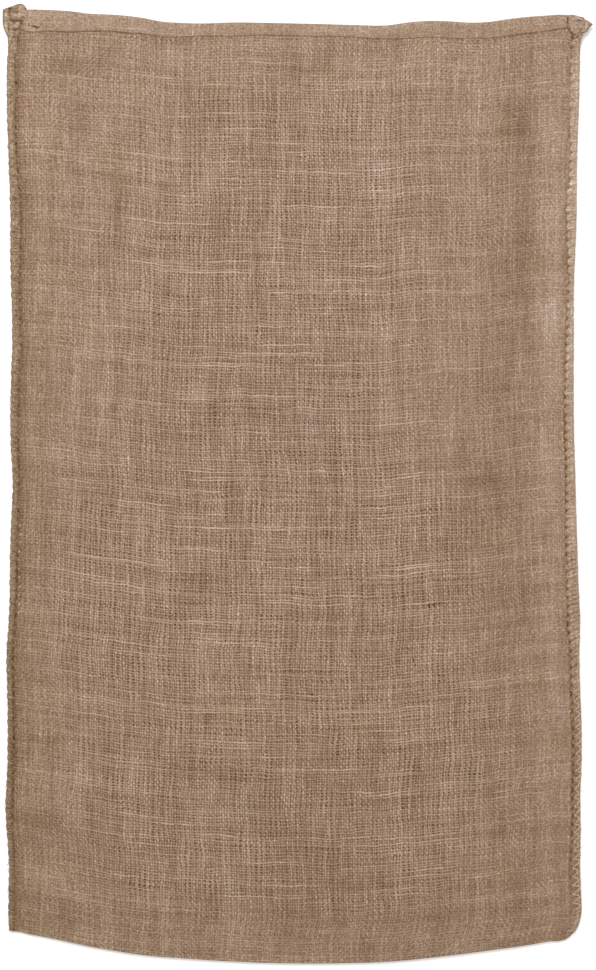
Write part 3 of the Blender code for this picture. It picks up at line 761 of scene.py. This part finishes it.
# small stains and pale spots, painted shade in slits and creases and painted light on ridges: across, up,
# half width, half length, share of the light
marks = [
    (-274.0, 987.8, 2.6, 1.0, -.80), (-270.4, 986.5, 2.6, 1.0, -.80), (-279.4, 990.2, 1.0, 1.3, -.50),
    (-277.6, 996.8, 1.3, 1.0, -.42), (-278.7, 993.2, 1.1, .9, .14), (-278.6, 998.2, 1.1, .9, .14),
    (288.6, 984.8, 1.3, 2.0, -.50), (291.2, 981.6, 1.5, 1.4, -.55), (294.6, 979.2, 1.8, 1.0, -.50),
    (297.8, 977.2, 1.5, 1.2, -.55), (300.6, 981.0, 1.0, 1.7, -.55), (299.4, 973.4, .9, 2.0, -.30),
    (-275.0, 1000.5, 3.4, .8, .12), (-271.0, 997.0, 3.4, .7, .12), (-162.7, 980.6, 1.6, 1.1, -.45),
    (-218.5, 983.0, .8, 1.2, -.22), (-204.0, 981.8, .8, 1.3, -.24), (-189.5, 981.6, .8, 1.3, -.24),
    (-193.5, 996.5, .7, 3.2, -.14), (287.4, 995.2, 1.2, 3.2, -.70), (286.8, 989.6, 1.3, 3.4, -.50),
    (-262.7, 162.1, 1.0, 1.0, -.34), (235.3, 52.6, 1.1, .9, -.28), (206.0, 46.0, 7.0, 1.5, .14),
    (126.0, 320.0, 3.0, 5.0, -.06), (-109.0, 424.0, 1.6, 44.0, .05), (-121.0, 870.0, 2.0, 80.0, .05),
    (132.0, 102.0, 26.0, 2.2, .05), (98.0, 363.0, 3.5, 66.0, .03),
    (141.4, 378.8, 1.8, 1.7, -.80), (146.2, 379.4, 1.7, 1.4, -.70), (151.5, 381.0, 3.6, 2.0, -.32),
    (124.8, 321.4, 0.9, 2.4, -.75), (126.8, 316.2, 1.1, 1.4, -.75), (-156.4, 417.5, 1.5, 1.2, -.70),
    (-137.4, 868.5, 0.9, 1.9, -.50), (-158.9, 867.0, 1.2, 1.3, -.50), (-115.3, 812.5, 1.3, 1.3, -.60),
]
sackCloth.data.materials.append(wovenJute("wovenJuteHessian", 1.0, marks=marks))
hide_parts("cloth")

# sewn edges: the two layers turned in together into a roll, overcast with twine that nips it once a stitch
rolls = {
    "around": 24, "perStitch": 16, "square": 2.5,   # 2 is an ellipse, more is boxier
    "leftEnd": 981.0, "rightEnd": 983.0,
    "closing": 5.0,         # a roll closes over this length to a rounded end at the mouth
    "lowGap": 0.8,          # above the bottom fold
    "tuckedEnd": 30.0,      # it comes out from behind the bottom fold here, over these ramps
    "leftRamp": 12, "rightRamp": 30,
    "leftWaver": 0.35, "rightWaver": 0.25,      # how far the outer edge wavers
    "swell": 0.05,          # share of the width that comes and goes
    "inset": 0.3,           # how far the roll reaches past the width, and stays below the height, of its edge
    "bulge": 0.8,           # the outer edge of the left roll stands out between nips
    "unroll": 4.2,          # mm of flat cloth for each radian around the roll
    "holes": 0.35,
    "seed": 4400, "uneven": (0.6, 1.3), "draws": 130,       # how strong each stitch and lobe is
    # painted light and shade: how bright a roll is from its outer edge to the groove; powers of the way
    # across and how much of each
    "fall": {"left": ((0, 1.07), (1.3, -0.26)), "right": ((0, 1.0), (1, 0.05), (6, -0.2))},
    "grooveBrown": 0.8, "nipBrown": 0.6,
    "marksFrom": 282,       # marks this far out show on the rolls too
    "blotch": {"left": 0.28, "right": 0.06},
    "tint": {"left": (0.97, 1.0, 0.955), "right": (0.975, 1.0, 0.99)},
    # habits by height: scallops of the inner edge (mm); the share of the roll's width that nips leave whole,
    # how far their outer end climbs, how deep they cut into the edge and the top, their half width (mm) and
    # how dark their painted shade is; then how deep the twist across the top is and how dark the painted
    # shade between its strands is, two strands a stitch
    "left": {"up": [36, 500, 1013], "lobe": [.5, .6, .6], "whole": [-.3, -.3, -.2], "climb": [2.0, 2.4, 2.6],
             "notch": [.7, .6, .5], "sink": [.9, .8, .7], "half": [1.3, 1.2, 1.2], "dark": [.34, .30, .24],
             "strand": [0, 0, 0], "strandDark": [0, 0, 0]},
    "right": {"up": [36, 60, 170, 190, 300, 318, 425, 445, 600, 862, 872, 896, 906, 1013],
              "lobe": [1.6, 2.0, 2.0, 2.0, 2.0, 2.0, 2.0, 2.2, 2.4, 2.4, .5, .5, 2.4, 2.4],
              "whole": [.5, .45, .40, .45, .50, .15, .15, .55, .60, .60, .6, .6, .60, .55],
              "climb": [3.0, 4.5, 4.5, 2.0, 2.0, 5.0, 5.0, 3.0, 3.0, 3.0, 3.0, 3.0, 3.0, 3.0],
              "notch": [1.0, 1.0, 1.0, 1.0, 1.0, .8, .8, 1.0, 1.2, 1.2, 0, 0, 1.2, 1.2],
              "sink": [1.0, 1.0, 1.0, 1.1, 1.1, 1.0, 1.0, 1.0, .9, .9, 0, 0, .9, .9],
              "half": [1.1, 1.1, 1.1, 1.1, 1.1, 1.0, 1.0, 1.1, 1.1, 1.1, 1.1, 1.1, 1.1, 1.1],
              "dark": [.42, .44, .44, .48, .46, .42, .42, .38, .34, .32, 0, 0, .32, .32],
              "strand": [.2, .45, .45, .2, .2, .55, .55, .15, .1, .1, 0, 0, .1, .1],
              "strandDark": [.1, .22, .22, .12, .12, .26, .26, .08, .04, .04, 0, 0, .04, .04]},
}
twine = {"perTurn": 26, "sides": 7, "leftRadius": 0.6, "rightRadius": 0.7, "proud": -0.6,
         "lowGap": 4, "highGap": 8}
# low on the right edge a second twine crosses the roll twice a stitch, out and back, as a leaning wave: half
# the seam's width times cosine across, and a stitch a turn, less loop times sine, plus a climb, up
chain = {
    "perTurn": 24, "sides": 7, "radius": 1.15,
    "low": 48.0, "high": 300.0,
    "share": 0.88, "climb": 2.4,    # how far across the roll it goes, and how far it climbs on the way
    "uneven": (1.6, 0.24),          # how much the climb and the reach change from curl to curl
    "up": [42, 60, 110, 200, 280, 300],
    "loop": [.6, .9, 1.1, 1.2, 1.0, .6],
    "proud": [-.9, -.5, -.4, -.4, -.5, -1.1],
    "worn": 0.1,
    "shadow": 0.24,         # how much darker the roll is beside it, between these heights
    "shadowUp": (44, 305), "shadowRamp": 20,
}
print("making the sewn edges")


def rollHabit(side, key, up):
    # what the tables say of one side's nips at a height
    habits = rolls[sideNames[side]]
    return np.interp(up, habits["up"], habits[key])


def stitchDraw(place, row):
    # how strong the stitch or the lobe at a place is, counted in stitches
    strengths = np.random.default_rng(rolls["seed"] + row).uniform(*rolls["uneven"], rolls["draws"])
    return strengths[np.clip(np.asarray(place // 1, int) + 2, 0, rolls["draws"] - 1)]


def stitchesUp(side, up, inward):
    # the height in stitches, counted on lines that climb towards the outer edge
    return (up - rollHabit(side, "climb", up) * (1 - inward)) / seams["stitch"]


def nipShare(side, up, angle):
    # 1 in the middle of a nip: a bell across the stitch line, fading in past the part left whole
    inward = (1 - np.cos(angle)) / 2
    phase = np.pi * stitchesUp(side, up, inward)
    wide = np.sin(np.pi * rollHabit(side, "half", up) / seams["stitch"])
    fading = ease((inward - rollHabit(side, "whole", up)) / 0.25 + 0.5)
    return stitchDraw(phase / np.pi + 0.5, 0) * bell(np.sin(phase), wide) * fading


def strandShare(side, up, angle):
    # 1 between two strands of the twist, 0 on top of a strand
    phase = 4 * np.pi * stitchesUp(side, up, (1 - np.cos(angle)) / 2)
    return (0.5 + 0.5 * np.cos(phase)) ** 1.5 * np.clip(np.sin(angle), 0, 1) ** 0.5


def rollSection(side, up, angle, proud):
    # a boxy ellipse: sine and cosine raised to two over the squareness; angle 0 is the outer edge, a quarter
    # turn is the top, half a turn is the groove
    line = 0.0 if side < 0 else outline["width"]
    name = sideNames[side]
    out = ease((up - rolls["tuckedEnd"]) / rolls[name + "Ramp"] + 0.35)
    outer = acrossAt(line + 0 * up, up) + side * seams["overhang"] * out
    swell = 1 + rolls["swell"] * waves(up, 0 * up, (61, 43, 27), 1.0, seed=21 + side)
    lobe = np.abs(np.sin(np.pi * up / seams["stitch"]))
    scallop = rollHabit(side, "lobe", up) * (stitchDraw(up / seams["stitch"], 1) * lobe - 0.6)
    inner = outer - side * (seamWidth(side, up) * swell + rolls["inset"])
    outer = outer - side * rolls[name + "Waver"] * waves(up, 0 * up, (19, 13, 8.1), 1.0, seed=41 + side)
    if side < 0:
        bulge = np.abs(np.sin(np.pi * (up - rollHabit(side, "climb", up)) / seams["stitch"]))
        outer = outer + side * rolls["bulge"] * (stitchDraw(up / seams["stitch"], 2) * bulge - 0.6)
    centre, half = (outer + inner) / 2, np.abs(outer - inner) / 2
    rise = seamHeight(line + 0 * up, up)
    nip = nipShare(side, up, angle)
    tall = rise - rolls["inset"] - rollHabit(side, "sink", up) * nip
    tall = tall - rollHabit(side, "strand", up) * strandShare(side, up, angle)
    power = 2 / rolls["square"]
    cosine, sine = np.cos(angle), np.sin(angle)
    across = centre + side * (half + proud) * boxy(cosine, power)
    across = across + side * (rollHabit(side, "notch", up) * nip - scallop) * ((1 - cosine) / 2) ** 2
    height = rise + (tall + proud) * boxy(sine, power)
    return placed(across, up, height)


rollPieces, twinePieces, edgeJutes = [], [], {}
for side, name in sideNames.items():
    nearMarks = [mark for mark in marks if side * mark[0] > rolls["marksFrom"]]
    edgeJutes[side] = wovenJute("wovenJute" + name.title() + "Edge", rolls["holes"], rolls["blotch"][name],
                                rolls["tint"][name], nearMarks)
for side, name in sideNames.items():
    line = np.array([0.0 if side < 0 else outline["width"]])
    low = endEdge(line, "bottom")[0] + rolls["lowGap"]
    high = rolls[name + "End"]
    ups = np.linspace(low, high, int((high - low) / seams["stitch"] * rolls["perStitch"]))[:, None]
    angle = np.linspace(0, 2 * np.pi, rolls["around"], endpoint=False)[None, :]
    closing = np.sqrt(1 - np.clip((ups - high + rolls["closing"]) / (rolls["closing"] + 0.01), 0, 1) ** 2)
    points = rollSection(side, ups, angle, 0.0)
    middle = points.mean(axis=1, keepdims=True)
    points = middle + (points - middle) * closing[..., None]
    uvs = np.stack(np.broadcast_arrays(angle * rolls["unroll"], ups), axis=-1)
    # painted shade: the roll darkens in the nips and between the strands, and on the right beside the second
    # twine
    inward = (1 - np.cos(angle)) / 2
    nipShade = rollHabit(side, "dark", ups) * nipShare(side, ups, angle)
    fall = sum(amount * inward ** power for power, amount in rolls["fall"][name])
    lit = curveThrough(seams["up"], seams[name + "Shade"], ups) * fall
    lit = lit * (1 - nipShade) * (1 - rollHabit(side, "strandDark", ups) * strandShare(side, ups, angle))
    if side > 0:
        (shadowLow, shadowHigh), ramp = chain["shadowUp"], chain["shadowRamp"]
        besideCurls = ease((shadowHigh - ups) / ramp) * ease((ups - shadowLow) / ramp)
        besideCurls = besideCurls * ease((inward - 0.1) / 0.3)
        lit = lit * (1 - chain["shadow"] * besideCurls)
    # browner in the groove and the nips: painted, the redder light of those crevices
    brown = np.clip(rolls["grooveBrown"] * inward ** 6 + rolls["nipBrown"] * nipShade, 0, 1)
    # the right roll runs the other way around, so that its faces look out
    points, lit, brown = (values[:, ::-side] for values in (points, lit, brown))
    roll = makePiece("rolledEdge" + name.title(), points, uvs,
                     {"openness": 0.0, "shade": lit, "front": 1.0, "brown": brown}, closeAcross=True)
    roll.data.materials.append(edgeJutes[side])
    rollPieces.append(roll)
    # one long helix of twine: over the top along a nip, then back under to the next
    turns = int((high - twine["highGap"] - low - twine["lowGap"]) / seams["stitch"])
    turn = np.linspace(0, turns, turns * twine["perTurn"] + 1)
    share = turn - np.floor(turn)
    wrapAngle = np.pi - 2 * np.pi * share
    first = np.ceil((low + twine["lowGap"]) / seams["stitch"]) * seams["stitch"]
    climb = rollHabit(side, "climb", first + seams["stitch"] * turn)
    over = climb * (1 + np.cos(wrapAngle)) / 2
    under = climb + (seams["stitch"] - climb) * (1 - np.cos(wrapAngle)) / 2
    ups = first + seams["stitch"] * np.floor(turn) + np.where(share < 0.5, over, under)
    radius = twine[name + "Radius"]
    path = rollSection(side, ups, wrapAngle, twine["proud"] * radius)
    cord = makeTubes("seamTwine" + name.title(), path[None], radius, twine["sides"], (0, 1, 0))
    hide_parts("seam_twine_left" if side < 0 else "seam_twine_right")
    twinePieces.append(cord)

# the second twine: each curl goes out over the roll and comes back
curlCount = int((chain["high"] - chain["low"]) / seams["stitch"])
turn = np.linspace(0, curlCount, curlCount * chain["perTurn"] + 1)
plain = (np.ceil(chain["low"] / seams["stitch"]) + turn) * seams["stitch"]
loop, proud = (curveThrough(chain["up"], chain[key], plain) for key in ("loop", "proud"))
wobble = waves(turn, 0 * turn, (3.7, 2.3, 1.7), 1.0, seed=77)
outward = (1 - np.cos(2 * np.pi * turn)) / 2
climbUneven, reachUneven = chain["uneven"]
curlUp = plain - loop * np.sin(2 * np.pi * turn) + (chain["climb"] + climbUneven * wobble) * outward
width = seamWidth(1, curlUp)
reach = width + 0.1 - chain["share"] * width * (1 + reachUneven * wobble) * outward
# reach is how far in from the outer edge it lies; its angle comes from the boxy ellipse read backwards
inShare = np.clip(2 * reach / width - 1, -0.97, 0.97)
curlAngle = np.pi / 2 + np.arcsin(boxy(inShare, rolls["square"] / 2))
path = rollSection(1, curlUp, curlAngle, proud + 0.35 * np.sin(2 * np.pi * turn))
curls = makeTubes("seamChain", path[None], chain["radius"], chain["sides"], (0.02, 0, 1))
twinePieces.append(curls)

# stitches lying loose on the cloth beside the left groove
knots = {
    "low": 371.0, "high": 464.0, "inset": 3.2, "stray": 0.8, "seed": 4500,
    "length": 2.9, "lean": 0.9, "radius": 0.9, "thicker": 0.25, "taper": 2.2, "sides": 8,
    "bow": 2.0, "lift": 0.45,
    "worn": (0.6, 0.4),     # how worn the middling one is, and how much that changes
}
step = np.linspace(-0.5, 0.5, 6)[None, :]
knotCount = int((knots["high"] - knots["low"]) / seams["stitch"]) + 1
draw = np.random.default_rng(knots["seed"]).uniform(-1, 1, (4, knotCount, 1))
knotUp = knots["low"] + seams["stitch"] * np.arange(knotCount)[:, None] + draw[0] + knots["length"] * step
line = seamWidth(-1, knotUp) - seams["overhang"] + knots["inset"]
line = line + knots["stray"] * draw[1] + knots["lean"] * step
height = frontHeight(line, knotUp) + lay["thickness"] / 2 + knots["lift"] - knots["bow"] * step**2
path = placed(acrossAt(line, knotUp), knotUp, height)
radii = knots["radius"] * (1 + knots["thicker"] * draw[2]) * (1 - knots["taper"] * step**2)
knotPiece = makeTubes("seamKnots", path, radii, knots["sides"], (0, 0, 1))
twinePieces.append(knotPiece)

# corners of the mouth: the ends of the seams stand up in a rumpled fold, a boxy ellipse at every height; rows
# are up, left edge, right edge, middle height, half height; rumples are across, up, half width, half length,
# how far they rise and how much brighter they are painted, as light on their ridges and shade in their
# creases
corners = {
    "cornerLeft": {
        "rows": [(960, -299.5, -293.0, 3.0, 2.0), (967, -300.4, -292.0, 3.6, 2.9),
                 (974, -301.4, -291.0, 4.6, 4.0), (979, -302.6, -289.0, 5.6, 4.9),
                 (982, -304.3, -287.2, 6.2, 5.3), (986, -306.2, -284.6, 7.0, 5.4),
                 (991, -307.2, -282.2, 7.5, 5.4), (996, -307.4, -281.2, 7.6, 5.4),
                 (1001, -307.4, -281.4, 7.6, 5.3), (1006.0, -307.3, -281.9, 7.6, 5.0),
                 (1007.2, -304.5, -282.2, 7.6, 4.9), (1008.3, -301.2, -282.8, 7.6, 4.6),
                 (1009.4, -298.0, -283.5, 7.6, 4.2), (1010.5, -295.0, -284.3, 7.6, 3.6),
                 (1011.4, -292.8, -285.4, 7.6, 2.8), (1012.0, -290.8, -287.2, 7.6, 1.6)],
        "rumples": [(-299.8, 1002.6, 1.3, 5.0, -1.8, -.42), (-300.4, 987.6, .9, 5.4, -1.1, -.30),
                    (-298.8, 1006.2, 2.2, 1.8, -.6, -.34), (-295.6, 997.7, 2.6, 1.4, .9, .16),
                    (-293.2, 1002.6, .9, 3.2, .5, .12), (-295.1, 1003.2, .6, 1.8, -.8, -.26),
                    (-291.4, 1003.2, .6, 3.4, -.8, -.26), (-287.2, 1002.0, 3.4, 4.0, .4, .06),
                    (-298.8, 995.3, 1.9, 1.3, -1.1, -.34), (-296.2, 993.6, 2.2, 1.6, -1.1, -.32),
                    (-292.6, 992.8, 2.2, 1.2, -.8, -.24), (-295.2, 990.6, 1.2, 1.1, -.6, -.30),
                    (-289.6, 993.8, 2.0, .9, -.8, -.30), (-286.5, 992.1, 2.0, 1.9, -1.4, -.80),
                    (-284.4, 997.6, 1.9, .9, -.9, -.40), (-287.6, 995.9, 1.7, 1.0, -.8, -.34),
                    (-288.8, 986.2, 2.1, 5.0, -.9, -.36), (-291.2, 977.0, 1.2, 4.0, -.5, -.32),
                    (-294.8, 984.1, 1.9, .9, -.5, -.32), (-298.0, 984.6, .8, 2.4, .3, .16),
                    (-283.6, 985.0, 1.6, 3.0, 0, -.14), (-300.6, 978.0, 1.0, 2.0, 0, -.24),
                    (-296.4, 976.4, 1.0, 1.6, 0, -.18)],
    },
    "cornerRight": {
        "rows": [(976.4, 297.2, 298.4, 8.0, 2.6), (978.0, 295.6, 299.6, 8.0, 4.0),
                 (979.8, 293.6, 300.6, 8.0, 4.5), (981.2, 291.8, 304.0, 8.0, 4.7),
                 (982.4, 290.6, 307.6, 8.0, 4.7), (985.0, 289.2, 309.4, 7.9, 4.6),
                 (987.8, 288.0, 311.2, 7.9, 4.5), (989.4, 287.4, 313.6, 7.8, 4.4),
                 (990.4, 287.2, 314.2, 7.8, 4.3), (991.6, 287.2, 313.0, 7.8, 4.2),
                 (993.2, 287.2, 310.6, 7.8, 4.2), (996.2, 287.2, 304.8, 7.7, 4.2),
                 (998.4, 287.4, 300.6, 7.6, 4.0), (999.8, 288.4, 297.0, 7.6, 3.2),
                 (1000.4, 290.6, 294.0, 7.6, 1.8)],
        "rumples": [(297.7, 996.2, 4.5, 1.2, .7, .14), (292.9, 997.2, 3.0, 1.0, .4, .06),
                    (304.6, 990.4, 1.4, 2.6, -1.0, -.32), (307.2, 988.3, 1.1, 3.8, .9, .20),
                    (294.0, 992.5, 4.0, 1.0, -.5, -.12), (297.2, 986.2, 5.0, 2.4, .3, .05),
                    (300.6, 993.2, 4.0, .7, -.6, -.14), (310.6, 990.6, 1.0, 2.0, -.5, -.12)],
    },
}
print("making the corners")
cornerPieces = []
cornerFold = {
    "rows": 110, "around": 76,
    "flatSides": 0.8, "flatTop": 0.7,       # powers of the boxy ellipse
    "ruck": 0.04,
    "bright": 1.04, "underDark": 0.2, "brown": 1.3,
}
for cornerName, corner in corners.items():
    rows = np.array(corner["rows"], float)
    along = np.concatenate([[0], np.cumsum(np.abs(np.diff(rows[:, :3], axis=0)).sum(axis=1))])
    seat = np.linspace(0, along[-1], cornerFold["rows"])
    up, left, right, middle, tall = (np.interp(seat, along, rows[:, column])[:, None] for column in range(5))
    angle = np.linspace(0, 2 * np.pi, cornerFold["around"], endpoint=False)[None, :]
    cosine, sine = np.cos(angle), np.sin(angle)
    rucks = waves(seat[:, None], 9 * cosine, (9, 6, 4), 1.0, seed=300 + len(cornerPieces))
    across = (left + right) / 2 + (right - left) / 2 * boxy(cosine, cornerFold["flatSides"])
    lift = tall * (1 + cornerFold["ruck"] * rucks) * boxy(sine, cornerFold["flatTop"])
    facing = np.clip(sine, 0, 1) ** 0.5
    # painted shade: darker towards the underside, where the fold meets the hem; the rumples add painted shade
    # in creases and painted light on ridges
    tone = cornerFold["bright"] - cornerFold["underDark"] * (1 - sine) ** 2 + 0 * lift
    for rumpleAcross, rumpleUp, halfWidth, halfLength, rise, bright in corner["rumples"]:
        rumple = facing * bell(across - rumpleAcross, halfWidth, up - rumpleUp, halfLength)
        lift = lift + rise * rumple
        tone = tone * (1 + bright * rumple)
    points = placed(across, up, middle + lift)
    uvs = np.stack([angle * 5 + 0 * up, 0.7 * up + 0 * angle], axis=-1)
    # browner where darker: painted, the redder light of the creases
    brown = np.clip(cornerFold["brown"] - cornerFold["brown"] * tone, 0, 1)
    points, uvs, tone, brown = (values[:, ::-1] for values in (points, uvs, tone, brown))   # faces look out
    fold = makePiece(cornerName, points, uvs,
                     {"openness": 0.0, "shade": tone ** 2.2, "front": 1.0, "brown": brown}, closeAcross=True)
    fold.data.materials.append(edgeJutes[-1 if cornerName.endswith("Left") else 1])
    cornerPieces.append(fold)

# hem stitches: short dashes of thread just above the fold of the hem, on both faces
hemThread = {"pitch": 5.2, "dash": 3.0, "radius": 0.42, "inset": 2.4, "ends": 18.0,
             "stray": (0.5, 0.3), "bow": 2.2}
print("making the hem stitches")
stitchPaths = []
for side in (1, -1):
    strayAlong, strayUp = hemThread["stray"]
    seat = np.arange(hemThread["ends"], outline["width"] - hemThread["ends"], hemThread["pitch"])
    seat = seat + rng.uniform(-strayAlong, strayAlong, len(seat))
    step = np.linspace(-0.5, 0.5, 7)[None, :]
    line = seat[:, None] + hemThread["dash"] * step
    depth = endEdge(line, "hem")
    foot = lipUp(line, side) - depth + hemThread["inset"] + rng.uniform(-strayUp, strayUp, (len(seat), 1))
    surface = frontHeight(line, foot) if side > 0 else backHeight(line, foot)
    stand = hemPuff(line, foot, hemThread["inset"] / depth) + 2 * lay["hemPitch"] + lay["thickness"] / 2
    height = surface + side * (stand + 0.05 - hemThread["bow"] * step**2)
    stitchPaths.append(placed(acrossAt(line, foot), foot, height))
hemStitches = makeTubes("hemStitches", np.concatenate(stitchPaths), hemThread["radius"], 6, (0, 0, 1))

# loose fibres: short bowed hairs, most along the sewn edges, the rest scattered over the front
fibres = {
    "left": 170, "right": 50, "front": 160,     # how many
    "length": (1.5, 4.5), "radius": 0.13, "bow": 1.0,
    "up": (42, 975), "inset": 20,               # where they stand
    "fan": 1.1, "rise": (-0.5, 0.9),            # how far they turn from square to the edge, and lift
    "edge": (-0.6, 2.4),                        # from the middle of a sewn edge
}
print("making the loose fibres")
count = fibres["left"] + fibres["right"] + fibres["front"]
sideOf = np.repeat([-1, 1, 0], [fibres["left"], fibres["right"], fibres["front"]])
rootUp = rng.uniform(*fibres["up"], count)
edgeRoot = np.where(sideOf < 0, 0.0, outline["width"])
frontRoot = rng.uniform(fibres["inset"], outline["width"] - fibres["inset"], count)
rootLine = np.where(sideOf == 0, frontRoot, edgeRoot)
heading = np.where(sideOf == 0, rng.uniform(0, 2 * np.pi, count),
                   np.where(sideOf < 0, np.pi, 0.0) + rng.uniform(-fibres["fan"], fibres["fan"], count))
reachOut = rng.uniform(*fibres["length"], count)
bow = rng.normal(0, fibres["bow"], count)
rise = rng.uniform(*fibres["rise"], count)
step = np.linspace(0, 1, 6)[None, :]
out, aside = reachOut[:, None] * step, bow[:, None] * step ** 2
edgeOut = np.where(sideOf == 0, 0.0, sideOf * (seams["overhang"] - 0.5))[:, None]
hairAcross = (acrossAt(rootLine, rootUp)[:, None] + edgeOut + out * np.cos(heading)[:, None]
              - aside * np.sin(heading)[:, None])
hairUp = rootUp[:, None] + out * np.sin(heading)[:, None] + aside * np.cos(heading)[:, None]
rootHeight = np.where(sideOf == 0, frontHeight(rootLine, rootUp) + lay["thickness"] / 2 + 0.1,
                      seamHeight(rootLine, rootUp) + rng.uniform(*fibres["edge"], count))
hairHeight = rootHeight[:, None] + rise[:, None] * 1.6 * np.sin(np.pi * step * 0.6)
hairHeight = np.maximum(hairHeight, 0.3)
hairs = makeTubes("looseFibres", placed(hairAcross, hairUp, hairHeight), fibres["radius"], 3, (0.03, 0.02, 1))

# jute twine: two plies twisted together, paler than the cloth, with loose hairs
twist = {
    "ply": 3.4,             # mm of cord for one turn
    "dark": "#7B6149", "light": "#AC937F", "pale": "#BCA38C",
    "worn": 0.75,           # how far rubbing can pale it
    "roughness": 0.9,
    "specular": 0.2,
    "bump": 0.0004,         # metres
}


def twistedJute(name):
    material, add = newMaterial(name)
    cord = add("SeparateXYZ", add("UVMap", uv_map="alongCord"))
    around = add("Math MULTIPLY", cord.outputs["Y"], 4 * math.pi)
    spiral = add("Math MULTIPLY_ADD", cord.outputs["X"], 2 * math.pi * 1000 / twist["ply"], around)
    plies = add("Math MULTIPLY_ADD", add("Math SINE", spiral), 0.5, 0.5)
    here = add("TexCoord").outputs["Object"]
    fluff = add("TexNoise", {"Vector": here, "Scale": 900.0, "Detail": 3.0, "Roughness": 0.7})
    # darker in the grooves between the plies: painted shade, broken by fluff
    ramp = add("ValToRGB", add("Math MULTIPLY_ADD", fluff, 0.55, add("Math MULTIPLY", plies, 0.5)))
    for element, stop, tone in zip(ramp.color_ramp.elements, (0.2, 0.7), ("dark", "light")):
        element.position, element.color = stop, linear(twist[tone])
    worn = add("Math MULTIPLY", add("Attribute", attribute_name="worn").outputs["Fac"], twist["worn"])
    paled = add("Mix", {0: worn, 6: ramp, 7: linear(twist["pale"])}, data_type="RGBA").outputs[2]
    bump = add("Bump", {"Height": plies, "Strength": 0.6, "Distance": twist["bump"]})
    shader = add("BsdfPrincipled", {"Base Color": paled, "Roughness": twist["roughness"], "Normal": bump,
                                    "Specular IOR Level": twist["specular"]})
    add("OutputMaterial", {"Surface": shader})
    return material


print("making the twine's finish")
twineJute = twistedJute("twistedJuteTwine")
for piece in twinePieces + [hemStitches, hairs]:
    piece.data.materials.append(twineJute)
# how far rubbing has paled the twine
knotWorn = knots["worn"][0] + knots["worn"][1] * draw[3]
for piece, share in ((curls, chain["worn"]), (knotPiece, knotWorn)):
    keepOn(piece, "worn", np.repeat(share, len(piece.data.vertices) // np.size(share)))

# plain pale floor, soft light from a wide panel and an even surround
studio = {
    "floor": "#F7F6F5", "reach": 40.0,
    "panelPower": 100.0, "panelSize": 2.0, "panelAt": (-0.6, 1.9, 3.4),
    "surround": 1.0,
    "lens": 120.0, "sensor": 36.0,
    "view": 1021.4,                         # mm seen from bottom to top
    "eye": (0.00368, 0.00421, 0.008),
}
print("making the studio")
floorMesh = bpy.data.meshes.new("floor")
reach = studio["reach"]
floorMesh.from_pydata([(-reach, -reach, 0), (reach, -reach, 0), (reach, reach, 0), (-reach, reach, 0)], [],
                      [(0, 1, 2, 3)])
floor = bpy.data.objects.new("floor", floorMesh)
bpy.context.scene.collection.objects.link(floor)
# mat paper: one even pale tone with no gloss
floorMaterial, addFloor = newMaterial("matPaper")
floorShader = addFloor("BsdfPrincipled", {"Base Color": linear(studio["floor"]), "Roughness": 0.9})
addFloor("OutputMaterial", {"Surface": floorShader})
floorMesh.materials.append(floorMaterial)

panel = bpy.data.lights.new("panel", "AREA")
panel.energy = studio["panelPower"]
panel.shape = "DISK"
panel.size = studio["panelSize"]
panelObject = bpy.data.objects.new("panel", panel)
panelObject.location = studio["panelAt"]
panelObject.rotation_euler = (-Vector(studio["panelAt"])).to_track_quat("-Z", "Y").to_euler()
bpy.context.scene.collection.objects.link(panelObject)

world = bpy.data.worlds.new("surround")
world.use_nodes = True
background = world.node_tree.nodes["Background"]
background.inputs["Color"].default_value = (1, 1, 1, 1)
background.inputs["Strength"].default_value = studio["surround"]
bpy.context.scene.world = world

camera = bpy.data.cameras.new("camera")
camera.lens = studio["lens"]
camera.sensor_width = studio["sensor"]
cameraObject = bpy.data.objects.new("camera", camera)
distance = studio["view"] * mm * studio["lens"] / studio["sensor"]
cameraObject.location = studio["eye"][:2] + (distance + studio["eye"][2],)
bpy.context.scene.collection.objects.link(cameraObject)
bpy.context.scene.camera = cameraObject
bpy.context.scene.view_settings.view_transform = "Standard"

print("finished")
